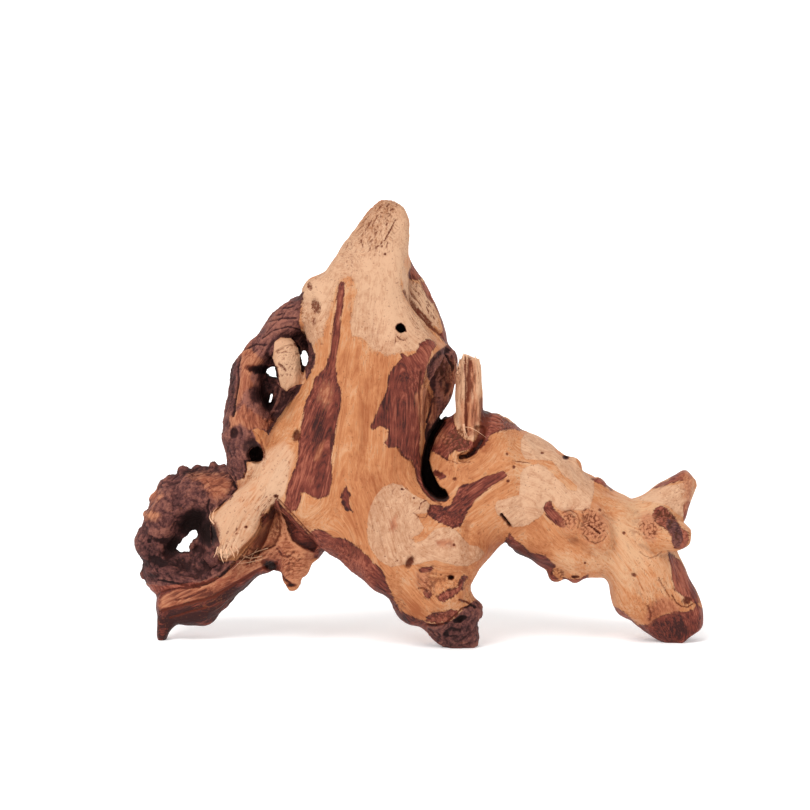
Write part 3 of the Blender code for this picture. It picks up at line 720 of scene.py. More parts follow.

# Pits and bumps, with shade painted into the pits; the one with no depth is painted shade only.
DENTS: tuple[Dent, ...] = (
    Dent(403, 337, 5.0, 2.6, -1.0, 0, 0), Dent(296.5, 436, 4.2, 7.0, 3.0, 12, 0.55),
    Dent(410, 562, 4.4, 7.4, 2.8, 28, 0.55), Dent(309.5, 286, 3.0, 5.0, 1.6, -8, 0.38),
    Dent(315.5, 306, 4.6, 9.0, 1.8, -8, 0.34), Dent(314, 321, 2.6, 6.0, 1.0, 0, 0.25),
    Dent(250, 447, 10.0, 10.0, 1.6, 0, 0.45), Dent(255.5, 453, 10.5, 10.5, 0.0, 0, 1.0),
    Dent(566, 457, 3.8, 2.8, 2.6, 0, 0.95), Dent(542, 453, 2.2, 1.6, 0.8, 0, 0.5),
    Dent(507, 454, 1.8, 2.0, 0.6, 0, 0.5), Dent(514, 467, 1.8, 2.0, 0.7, 0, 0.6),
    Dent(455, 479, 2.6, 2.2, 1.0, 0, 0.5), Dent(437, 474, 6.0, 2.6, 1.2, 15, 0.5),
    Dent(634, 575, 3.0, 2.2, 0.8, 20, 0.45), Dent(624, 533, 1.8, 1.8, 0.7, 0, 0.6),
    Dent(585, 563, 1.6, 1.6, 0.6, 0, 0.5), Dent(575, 577, 5.0, 2.0, 1.8, 0, 0.8),
    Dent(687, 601, 5.5, 4.0, 1.4, 0, 0.65), Dent(441, 575, 4.4, 4.4, -0.7, 0, 0),
    Dent(441, 575, 1.6, 1.6, 0.7, 0, 0.4), Dent(451, 577.5, 3.2, 2.6, 3.0, 0, 0.95),
    Dent(427, 594, 5.0, 5.0, -0.7, 0, 0), Dent(425, 507, 5.5, 5.0, -1.0, 0, 0),
    Dent(454, 545, 1.4, 1.4, 0.6, 0, 0.7), Dent(460, 619, 7.0, 3.4, 2.4, -20, 1.0),
    Dent(446, 634, 3.5, 3.0, 1.2, 0, 0.6), Dent(235, 433, 4.0, 5.0, 0.8, 0, 0.25),
    Dent(260, 369.5, 11.0, 5.0, 3.2, -4, 0.6), Dent(251, 368, 7.0, 4.0, 1.2, 6, 0.2),
    Dent(257, 394, 9.0, 11.0, 2.8, 0, 0.35), Dent(236, 433, 6.5, 7.5, 1.0, 0, 0.15),
    Dent(268, 402, 7.0, 9.0, 2.4, 10, 0.85), Dent(447, 376, 8.0, 19.0, 1.4, 12, 0.25),
    Dent(447, 388, 4.5, 8.0, 1.2, 25, 0.3), Dent(192, 523, 19.0, 13.0, 2.8, -45, 1.0),
    Dent(174, 545, 12.0, 10.0, 1.2, -40, 1.0), Dent(208.5, 533, 12.0, 15.0, 3.0, -14, 1.0),
    Dent(157, 561, 10.0, 5.0, 1.6, 20, 0.6), Dent(388, 432, 2.0, 1.4, 0.4, 0, 0.4),
    Dent(331, 334, 1.5, 1.2, 0.5, 0, 0.5), Dent(322, 344, 2.4, 1.2, 0.4, 0, 0.3),
    Dent(385, 254, 1.2, 1.8, 0.6, 0, 0.7), Dent(382, 246, 1.1, 1.6, 0.5, 0, 0.6),
    Dent(508, 481, 2.0, 1.8, 0.7, 0, 0.7), Dent(402, 489, 1.6, 1.2, 0.5, 0, 0.8),
    Dent(414, 498, 1.5, 1.2, 0.5, 0, 0.7), Dent(246, 527, 1.8, 1.6, 0.6, 0, 0.7),
    Dent(276, 496, 2.6, 2.0, 0.9, 0, 0.8), Dent(600, 510, 2.0, 2.0, 0.6, 0, 0.5),
    Dent(270, 566, 10.0, 6.0, 3.0, 25, 1.0), Dent(291, 585, 6.0, 2.6, 1.0, 0, 0.85),
    Dent(520, 551, 9.0, 5.0, 1.4, 30, 0.6), Dent(469, 592, 4.0, 7.0, -0.6, 0, 0),
    Dent(164, 541, 10.0, 3.0, 1.2, 10, 0.5), Dent(149, 541, 2.4, 2.4, 1.0, 0, 0.6),
    Dent(193, 545, 3.2, 3.5, -1.6, 0, 0),
)

# Rough burls: the middle, the radius and how rough.
BURLS: tuple[Numbers, ...] = (
    (570, 522, 9, 1.0), (594, 530, 15, 1.0), (590, 514, 9, 1.0), (648, 529, 12, 0.9), (664, 520, 12, 1.2),
    (681, 536, 9, 0.8), (440, 585, 22, 0.45), (440, 619, 14, 0.5), (557, 574, 8, 0.7), (576, 577, 8, 0.4),
    (456, 441, 16, 0.9), (316, 308, 8, 0.7), (308, 287, 7, 0.6), (300, 312, 6, 0.6), (280, 530, 14, 0.6),
    (250, 556, 14, 0.6), (294, 564, 15, 0.3), (288, 362, 15, 0.45), (384, 207, 15, 0.8),
    (472, 600, 10, 0.6), (447, 370, 16, 0.9), (440, 400, 14, 0.7), (688, 602, 8, 0.5), (685, 478, 6, 0.5),
    (400, 606, 8, 0.5),
)

# Frayed, fibrous wood: the middle, the radius both ways and how strong.
FRAYED: tuple[Numbers, ...] = (
    (374, 228, 30, 32, 0.75), (386, 205, 18, 9, 0.9), (352, 252, 16, 26, 0.35), (424, 304, 17, 40, 0.9),
    (309, 290, 11, 16, 0.35), (308, 318, 10, 22, 0.35), (290, 400, 16, 26, 0.35), (288, 365, 16, 24, 0.45),
    (468, 396, 16, 44, 0.55), (424, 402, 9, 40, 0.6), (500, 420, 26, 14, 0.8), (452, 438, 22, 16, 0.5),
    (292, 562, 18, 26, 0.6), (255, 556, 26, 14, 0.9), (224, 552, 13, 11, 0.9), (210, 602, 50, 12, 0.6),
    (268, 505, 14, 16, 0.6), (440, 590, 30, 20, 0.5), (380, 604, 34, 14, 0.5), (340, 552, 40, 12, 0.4),
    (648, 600, 18, 20, 0.45), (684, 580, 12, 26, 0.35), (684, 486, 16, 14, 0.5),
)

# Swellings on the rim of the bark ring, and by its hole.
BEADS: tuple[Bead, ...] = (
    Bead(160, 484, 18, 4.0, 0.9), Bead(171, 476, 18, 3.5, 1.0), Bead(183, 471, 17, 4.2, 1.7),
    Bead(196, 469, 16, 3.6, 1.3), Bead(205, 470, 14, 2.8, 0.8), Bead(214, 466.5, 13, 3.2, 1.7),
    Bead(223, 467.5, 11, 2.8, 1.3), Bead(144, 514, 18, 4.0, 1.6), Bead(150, 497, 18, 4.0, 0.8),
    Bead(134, 542, 18, 5.0, 1.2), Bead(143, 574, 17, 4.5, 1.6), Bead(148, 583, 17, 3.5, 1.0),
    Bead(194, 545, 8, 3.2, 1.4), Bead(213, 566, 2, 5.0, 1.8), Bead(199, 566, 4, 4.0, 1.0),
    Bead(157, 531, 4, 5.0, 0.8),
)

# Where the purple-brown heartwood shows.
HEARTWOOD: tuple[Outline, ...] = (
    Outline(((341, 281), (345, 283), (344, 296), (342, 312), (340, 328), (339, 342), (337, 356), (336, 370),
        (337, 382), (341, 390), (341, 401), (339, 413), (337, 426), (334, 440), (332, 455), (332, 470),
        (331, 484), (329, 495), (320, 499), (312, 496), (306, 493), (300, 492), (301, 502), (296, 510),
        (289, 512), (283, 508), (286, 496), (289, 483), (295, 470), (298, 455), (299, 440), (301, 425),
        (303, 412), (307, 400), (312, 390), (314, 380), (320, 374), (326, 366), (329, 355), (331, 343),
        (333, 330), (335, 316), (337, 300), (338, 288))),
    Outline(((400, 352), (408, 356), (416, 352), (420, 344), (427, 339), (434, 340), (437, 345), (433, 351),
        (430, 360), (428, 370), (424, 378), (421, 390), (419, 400), (420, 412), (421, 425), (420, 437),
        (420, 450), (421, 462), (424, 480), (430, 492), (438, 502), (432, 500), (424, 492), (418, 481),
        (416, 470), (413, 461), (406, 459), (401, 454), (400, 448), (388, 447), (383, 443), (388, 437),
        (389, 430), (380, 426), (372, 431), (370, 426), (375, 418), (378, 408), (384, 400), (387, 390),
        (388, 380), (390, 372), (397, 364), (402, 358))),
    Outline(((346, 486), (350, 494), (350, 504), (353, 512), (346, 510), (341, 502), (342, 494))),
    Outline(((430, 505), (436, 504), (444, 507), (451, 504), (455, 496), (457, 488), (463, 485), (471, 483),
        (479, 480), (487, 476), (495, 474), (502, 471), (508, 474), (504, 479), (496, 483), (490, 488),
        (484, 492), (478, 498), (473, 505), (468, 512), (464, 520), (460, 527), (453, 528), (446, 525),
        (438, 522), (432, 518), (427, 513))),
    Outline(((309, 533), (315, 529), (324, 531), (334, 537), (345, 539), (352, 543), (360, 550), (368, 557),
        (374, 563), (381, 568), (385, 577), (389, 588), (394, 600), (400, 612), (392, 615), (378, 602),
        (364, 586), (350, 574), (338, 566), (326, 560), (316, 558), (306, 560), (306, 548), (312, 546))),
    Outline(((276, 498), (282, 506), (289, 513), (297, 522), (305, 530), (312, 538), (320, 549), (312, 556),
        (304, 549), (298, 545), (292, 541), (288, 531), (285, 520), (279, 516), (270, 520), (262, 528),
        (262, 515), (270, 511))),
    Outline(((478, 402), (490, 409), (502, 417), (515, 424), (527, 431), (512, 429), (500, 431), (492, 434),
        (487, 441), (481, 448), (474, 455), (464, 458), (474, 446), (479, 432), (479, 415))),
    Outline(((438, 420), (448, 415), (456, 409), (458, 425), (466, 436), (475, 436), (476, 446), (464, 452),
        (455, 450), (449, 455), (447, 460), (438, 454), (430, 450), (430, 440), (434, 428))),
    Outline(((545, 501), (550, 500), (553, 507), (558, 513), (564, 519), (567, 524), (564, 528), (558, 526),
        (552, 521), (546, 515), (543, 508))),
    Outline(((655, 509), (661, 505), (669, 510), (675, 518), (681, 527), (688, 532), (690, 540), (684, 549),
        (675, 548), (673, 540), (668, 530), (660, 525), (654, 522), (652, 515))),
    Outline(((652, 488), (660, 482), (668, 480), (676, 472), (684, 468), (693, 471), (691, 478), (684, 480),
        (676, 482), (668, 484), (660, 487))),
    Outline(((648, 625), (653, 620), (660, 616), (668, 613), (677, 611), (687, 612), (693, 609), (697, 603),
        (704, 610), (710, 620), (702, 640), (690, 650), (670, 650), (650, 644), (634, 632), (622, 618),
        (612, 606), (618, 608), (628, 616), (638, 625)), True),
    Outline(((668, 551), (673, 555), (680, 560), (688, 574), (696, 590), (700, 603), (694, 604), (688, 600),
        (681, 595), (675, 590), (672, 580), (671, 568))),
    Outline(((380, 596), (392, 606), (404, 613), (416, 618), (425, 622), (432, 624), (440, 624), (450, 622),
        (456, 617), (462, 612), (470, 606), (474, 601), (478, 596), (488, 602), (486, 650), (440, 660),
        (400, 630)), True),
    Outline(((427, 616), (433, 613), (444, 612), (451, 609), (458, 611), (456, 616), (450, 621), (440, 623),
        (430, 623), (426, 620))),
    Outline(((418, 569), (424, 567), (432, 566), (434, 569), (429, 572), (420, 573))),
    Outline(((423, 592), (427, 589), (431, 591), (432, 596), (428, 600), (424, 598))),
    Outline(((436, 597), (443, 592), (451, 589), (459, 586), (460, 580), (464, 575), (468, 577), (464, 583),
        (464, 589), (458, 593), (452, 598), (444, 602), (438, 601))),
    Outline(((408.5, 273), (411, 265), (414, 258), (419, 262), (425, 276), (420, 279.5), (413, 279),
        (409, 278))),
    Outline(((420, 281), (427, 282), (433, 292), (437, 302), (432, 303), (427, 297), (423, 289))),
    Outline(((434, 303), (439, 303), (446, 314), (450, 326), (454, 345), (446, 344), (440, 337), (443, 330),
        (441, 320), (437, 310))),
    Outline(((436, 470), (444, 474), (448, 478), (440, 479), (433, 474))),
    Outline(((479, 380), (481, 378), (486, 384), (486, 410), (480, 406), (479.5, 394))),
    Outline(((591, 479), (600, 478), (610, 484), (614, 490), (606, 487), (598, 483))),
    Outline(((510, 534), (516, 540), (524, 546), (530, 552), (545, 556), (556, 566), (548, 570), (530, 566),
        (512, 560), (500, 548))),
    Outline(((563, 577), (570, 579), (580, 579), (588, 575), (590, 584), (575, 590), (562, 586))),
    Outline(((548, 561), (553, 567), (553, 575), (560, 581), (552, 582), (546, 572))),
    Outline(((683, 505), (688, 500), (696, 505), (692, 520), (684, 522))),
    Outline(((150, 574), (170, 580), (200, 582), (220, 574), (236, 560), (262, 548), (278, 544), (290, 560),
        (290, 575), (250, 600), (215, 632), (165, 655), (145, 655), (145, 600)), True),
)

# Where dark bark or a rough grey skin covers the wood.
BARK: tuple[Outline, ...] = (
    Outline(((304, 292), (303, 298), (300, 312), (299, 325), (304, 335), (311, 343), (315, 354), (314, 366),
        (309, 376), (302, 386), (296, 396), (290, 403), (283, 411), (277, 420), (271, 430), (269, 436),
        (266, 432), (258, 428), (252, 430), (256, 440), (261, 446), (263, 456), (262, 461), (252, 461),
        (246, 463), (245, 471), (242, 479), (234, 482), (220, 470), (215, 430), (215, 390), (230, 350),
        (255, 320), (285, 290)), True),
    Outline(((242, 470), (236, 478), (237, 487), (231, 497), (222, 505), (212, 511), (210, 519), (214, 530),
        (220, 544), (216, 554), (222, 561), (234, 560), (222, 574), (200, 582), (165, 586), (120, 580),
        (120, 480), (160, 455), (228, 455)), True),
    Outline(((448, 344), (440, 350), (432, 358), (428, 370), (430, 383), (434, 395), (430, 410), (427, 422),
        (424, 436), (428, 446), (434, 436), (440, 424), (446, 412), (454, 396), (462, 385), (462, 344))),
    Outline(((667, 518), (675, 520), (681, 528), (684, 538), (679, 548), (672, 546), (672, 536),
        (666, 528))),
    Outline(((428, 626), (440, 626), (452, 621), (462, 611), (474, 601), (488, 600), (488, 660), (438, 660),
        (426, 640)), True),
)

# Where the pale outer wood is bare.
PALE: tuple[Outline, ...] = (
    Outline(((322, 272), (340, 245), (352, 230), (372, 208), (385, 198), (402, 202), (410, 222), (409, 250),
        (402, 268), (400, 285), (404, 298), (414, 314), (424, 326), (432, 340), (424, 350), (405, 352),
        (388, 356), (372, 350), (365, 340), (356, 337), (352, 330), (354, 306), (358, 290), (352, 277),
        (342, 277), (334, 292), (330, 312), (322, 336), (312, 346), (304, 335), (302, 320), (302, 295),
        (312, 280)), soft=4.0),
    Outline(((366, 300), (360, 336), (352, 336), (350, 322), (354, 306), (357, 290), (356, 262), (372, 262),
        (396, 262), (400, 285), (392, 300), (376, 304)), soft=2.0),
    Outline(((383, 487), (376, 495), (371, 505), (368, 517), (367, 531), (368, 542), (372, 551), (377, 558),
        (384, 564), (391, 567), (402, 565), (414, 565), (425, 562), (436, 560), (446, 563), (457, 566),
        (469, 566), (479, 560), (485, 553), (478, 546), (470, 545), (463, 539), (458, 532), (452, 528),
        (440, 527), (432, 532), (424, 540), (416, 543), (411, 538), (420, 534), (424, 528), (420, 520),
        (415, 514), (427, 513), (431, 506), (426, 500), (418, 497), (410, 492), (402, 485), (393, 483))),
    Outline(((521, 440), (524, 435), (530, 430), (541, 436), (552, 446), (558, 454), (566, 457), (574, 456),
        (580, 467), (587, 474), (594, 480), (594, 491), (592, 500), (590, 508), (583, 511), (574, 510),
        (562, 511), (556, 507), (552, 502), (549, 499), (545, 505), (544, 512), (540, 517), (533, 521),
        (529, 525), (520, 527), (511, 527), (504, 521), (497, 514), (495, 507), (497, 501), (505, 499),
        (512, 497), (519, 495), (520, 486), (520, 476), (523, 469), (529, 466), (538, 464), (545, 467),
        (551, 472), (557, 478), (563, 484), (568, 490), (577, 491), (577, 486), (570, 480), (563, 475),
        (557, 467), (552, 461), (543, 460), (533, 460), (525, 459), (521, 451))),
    Outline(((640, 500), (650, 491), (662, 487), (680, 484), (694, 478), (696, 495), (690, 506), (684, 518),
        (676, 513), (668, 505), (656, 503))),
    Outline(((265, 492), (270, 480), (276, 468), (284, 458), (289, 462), (288, 478), (285, 492), (279, 500),
        (270, 506), (262, 512), (258, 524), (250, 538), (238, 550), (224, 560), (216, 554), (222, 546),
        (236, 536), (246, 520), (254, 505))),
    Outline(((402, 262), (410, 281), (419, 284), (427, 296), (435, 310), (441, 330), (432, 325), (422, 316),
        (412, 304), (404, 290), (400, 276)), soft=2.0),
    Outline(((303, 280), (320, 278), (326, 300), (324, 330), (312, 345), (304, 335), (302, 310)), soft=3.0),
)

# Worn, blushed wood between the two.
BLUSH: tuple[Outline, ...] = (
    Outline(((158, 606), (163, 596), (172, 591), (186, 588), (200, 586), (214, 582), (226, 574), (240, 562),
        (254, 553), (268, 547), (280, 545), (283, 556), (276, 561), (262, 567), (246, 575), (232, 585),
        (216, 594), (200, 599), (184, 603), (170, 608), (160, 609))),
    Outline(((281, 508), (286, 520), (289, 532), (293, 541), (299, 545), (306, 549), (314, 554), (312, 570),
        (304, 580), (294, 588), (284, 582), (281, 570), (281, 558), (276, 548), (268, 536), (264, 526),
        (272, 514))),
    Outline(((240, 352), (248, 347), (258, 356), (264, 362), (254, 368), (250, 376), (254, 386), (243, 392),
        (240, 402), (236, 408), (235, 396), (238, 382), (242, 370), (239, 360))),
    Outline(((236, 412), (244, 404), (254, 412), (266, 420), (276, 418), (268, 430), (256, 428), (250, 430),
        (240, 424), (230, 428), (230, 418))),
    Outline(((190, 476), (200, 474), (212, 474), (226, 475), (232, 483), (229, 491), (222, 497), (213, 500),
        (206, 488), (198, 480)), soft=2.5),
    Outline(((143, 512), (152, 511), (160, 515), (156, 520), (146, 519)), soft=2.0),
    Outline(((436, 541), (444, 539), (452, 541), (455, 546), (446, 547), (438, 545)), soft=2.0),
    Outline(((262, 528), (270, 520), (278, 530), (274, 545), (262, 552), (248, 560), (238, 560),
        (250, 546)), soft=1.5),
    Outline(((391, 519), (396, 517), (397, 524), (394, 531), (390, 529)), soft=1.5),
    Outline(((462, 402), (479, 398), (480, 420), (475, 437), (466, 435), (460, 420)), soft=2.5),
    Outline(((681, 474), (690, 470), (694, 480), (692, 495), (688, 508), (684, 512), (685, 495),
        (682, 484)), soft=2.0),
    Outline(((562, 511), (572, 510), (579, 518), (577, 528), (568, 530), (561, 524)), soft=3.0),
    Outline(((585, 508), (598, 508), (607, 520), (608, 535), (598, 544), (586, 540), (581, 528),
        (584, 516)), soft=4.0),
    Outline(((321, 386), (326, 383), (331, 388), (331, 400), (326, 405), (320, 400)), soft=2.5),
    Outline(((318, 446), (324, 441), (323, 450), (318, 462), (313, 460))),
    Outline(((415, 396), (424, 385), (432, 396), (428, 412), (424, 430), (420, 420))),
    Outline(((467, 364), (471, 359), (476, 364), (477, 376), (475, 392), (471, 404), (468, 400),
        (467, 380)), soft=2.0),
    Outline(((641, 515), (650, 512), (657, 519), (659, 530), (655, 541), (646, 541), (640, 530)), soft=1.5),
    Outline(((648, 608), (655, 601), (664, 597), (673, 600), (681, 608), (676, 613), (664, 614), (655, 619),
        (649, 626), (645, 620)), soft=1.5),
    Outline(((148, 491), (158, 489), (162, 497), (152, 503)), soft=2.0),
    Outline(((444, 372), (452, 362), (458, 372), (455, 392), (446, 398), (441, 388)), soft=3.0),
    Outline(((430, 402), (436, 398), (438, 412), (432, 424), (427, 420)), soft=2.0),
    Outline(((430, 428), (440, 428), (447, 438), (436, 444), (429, 438)), soft=3.0),
    Outline(((418, 572), (430, 574), (434, 588), (424, 590), (417, 582)), soft=3.0),
)

# Tones: the middle, the radius both ways, and how much redder or, below 0, paler the wood is there. Where a
# tone darkens wood that lies in shade, as under the tongue, it is partly painted shade.
TONES: tuple[Numbers, ...] = (
    (368, 420, 45, 70, 0.5), (395, 470, 30, 30, 0.35), (352, 515, 24, 30, 0.75), (480, 548, 26, 22, 0.7),
    (548, 545, 26, 14, 0.4), (585, 560, 30, 14, -0.5), (385, 250, 45, 50, -0.7), (370, 228, 24, 24, 0.8),
    (386, 206, 16, 8, 0.7), (390, 315, 26, 30, -0.6), (392, 375, 22, 20, 0.35), (320, 290, 24, 20, -0.6),
    (278, 480, 20, 30, -0.4), (318, 428, 7, 26, 1.1), (424, 300, 12, 30, -1.3), (486, 405, 6, 16, 1.4),
    (257, 544, 16, 12, 1.3), (275, 440, 22, 22, 0.1), (230, 525, 20, 30, -0.3), (248, 500, 12, 30, 0.45),
    (400, 530, 34, 34, 0.25), (287, 362, 12, 20, -1.2), (312, 356, 5, 16, -0.7), (205, 594, 26, 8, 1.2),
    (358, 563, 14, 10, -0.6), (676, 530, 12, 14, -0.5), (295, 568, 14, 14, 0.5), (311, 292, 10, 12, -1.0),
    (222, 584, 20, 12, 0.9), (530, 480, 50, 34, -0.5), (640, 505, 44, 26, -0.6), (632, 556, 30, 60, -0.9),
    (470, 440, 24, 18, -0.2), (500, 450, 24, 20, 0.25), (505, 488, 18, 16, 0.55), (460, 465, 24, 14, 0.3),
    (320, 345, 14, 40, 0.2), (310, 520, 26, 18, 0.05), (345, 300, 8, 30, 0.35), (400, 595, 22, 22, 0.1),
    (415, 605, 24, 14, 0.2), (285, 440, 18, 34, -0.15), (468, 560, 16, 16, 0.3), (655, 610, 20, 14, 0.5),
    (471, 414, 9, 24, 0.9), (461, 395, 5, 40, -0.5), (233, 384, 7, 60, -1.0), (247, 380, 12, 26, 0.9),
    (246, 414, 22, 14, 0.9), (276, 320, 34, 22, 0.4), (267, 390, 8, 20, -1.0), (287, 400, 14, 14, 0.5),
    (256, 396, 10, 12, -0.5), (150, 497, 12, 8, 0.5), (157, 532, 14, 6, 0.5),
    (137, 542, 8, 12, 0.3), (148, 545, 16, 34, -0.7), (184, 498, 26, 18, 0.05), (168, 565, 34, 18, -1.0),
    (190, 520, 20, 20, -0.7), (205, 562, 18, 20, -0.6), (195, 470, 36, 8, -0.7), (214, 486, 16, 14, 0.9),
    (442, 385, 16, 36, 0.5), (195, 614, 50, 12, 2.0), (175, 636, 28, 20, 2.2), (240, 597, 30, 12, 2.0),
    (262, 584, 24, 12, 1.8), (215, 585, 60, 8, -0.3), (458, 634, 30, 24, -0.7), (410, 618, 18, 12, 1.2),
    (676, 632, 32, 20, 1.15), (682, 577, 9, 24, -1.2), (697, 585, 6, 24, 0.8),
    (455, 505, 24, 16, 0.5), (498, 425, 20, 10, -0.3), (486, 440, 8, 14, 0.9), (455, 440, 16, 12, 0.3),
    (520, 556, 20, 10, 1.3), (503, 550, 12, 12, 1.5), (385, 590, 14, 30, 0.6),
)

# Strands of the grain, from root to tip.
STRANDS: tuple[Spots, ...] = (
    ((388, 200), (378, 300), (366, 400), (362, 480), (386, 560), (425, 605), (455, 645)),
    ((340, 280), (322, 400), (300, 470), (285, 515)),
    ((430, 530), (470, 500), (515, 470), (560, 480), (605, 520), (650, 575), (675, 635)),
    ((590, 510), (630, 512), (665, 498), (690, 476)),
    ((330, 545), (285, 545), (240, 575), (200, 592), (160, 612)),
    ((290, 450), (265, 485), (240, 515), (222, 552)),
    ((318, 305), (290, 314), (264, 340), (246, 375), (240, 420), (246, 470)),
    ((245, 478), (200, 486), (166, 506), (152, 540), (162, 568), (205, 580)),
    ((468, 450), (468, 400), (467, 355)),
    ((432, 470), (440, 430), (446, 390), (440, 350)),
    ((404, 250), (410, 282), (428, 310), (446, 342)),
)


def object_from(bm: bmesh.types.BMesh, name: str) -> bpy.types.Object:
    """A new object from a bmesh, with its faces turned outwards.

    Args:
        bm: the shape, which is freed.
        name: the object's name.

    Returns:
        The object, in the scene at the origin.
    """
    bmesh.ops.recalc_face_normals(bm, faces=bm.faces)
    mesh = bpy.data.meshes.new(name)
    bm.to_mesh(mesh)
    bm.free()
    made = bpy.data.objects.new(name, mesh)
    bpy.context.scene.collection.objects.link(made)
    return made


def only(kind: type, items: Iterable[Any]) -> list[Any]:
    """Those of some mesh parts that are of one kind."""
    return [item for item in items if isinstance(item, kind)]


def push_face(bm: bmesh.types.BMesh, face: bmesh.types.BMFace, keep: bool = True) -> list[Any]:
    """Extrudes a face in place, and gives the new face and its points; keep leaves the first as a cap."""
    pushed = bmesh.ops.extrude_face_region(bm, geom=[face], use_keep_orig=keep)["geom"]
    return only(bmesh.types.BMFace, pushed)[:1] + only(bmesh.types.BMVert, pushed)


def sweep_ring(bm: bmesh.types.BMesh, ring: list[bmesh.types.BMVert], matrices: list[Matrix]) -> None:
    """Extrudes a capped ring of unit size from place to place, which leaves one closed body.

    Args:
        bm: what holds the ring.
        ring: its points, around the origin.
        matrices: where the ring goes, in order.
    """
    bmesh.ops.transform(bm, matrix=matrices[0], verts=ring)
    face = ring[0].link_faces[0]
    for before, after in zip(matrices, matrices[1:]):
        face, *moved = push_face(bm, face, before is matrices[0])
        bmesh.ops.transform(bm, matrix=after @ before.inverted(), verts=moved)


def add_modifier(piece: bpy.types.Object, kind: str, **settings: Any) -> None:
    """Adds a modifier of a kind, with its settings."""
    modifier = piece.modifiers.new(kind.title(), kind)
    for name, value in settings.items():
        setattr(modifier, name, value)


def read_rows(items: Any, field: str, width: int = 1, kind: type = np.float32) -> Array:
    """A field of a mesh's points, edges, faces or corners.

    Args:
        items: what has the field.
        field: its name.
        width: how many numbers each item has.
        kind: the numbers' type.

    Returns:
        One number for each item, or one row where it has more.
    """
    found = np.empty(len(items) * width, kind)
    items.foreach_get(field, found)
    return found if width == 1 else found.reshape(-1, width)


def bake(piece: bpy.types.Object) -> None:
    """Puts what the modifiers make into the piece's own mesh."""
    graph = bpy.context.evaluated_depsgraph_get()
    shaped = bpy.data.meshes.new_from_object(piece.evaluated_get(graph))
    old = piece.data
    piece.modifiers.clear()
    piece.data = shaped
    bpy.data.meshes.remove(old)


def cut(piece: bpy.types.Object, block: bpy.types.Object, operation: str) -> None:
    """Cuts a piece by a block; INTERSECT keeps what is inside the block, and DIFFERENCE the rest."""
    add_modifier(piece, "BOOLEAN", operation=operation, solver="MANIFOLD", object=block)
    bake(piece)


def discard(piece: bpy.types.Object) -> None:
    """Removes a helper and its mesh."""
    mesh = piece.data
    bpy.data.objects.remove(piece, do_unlink=True)
    bpy.data.meshes.remove(mesh)


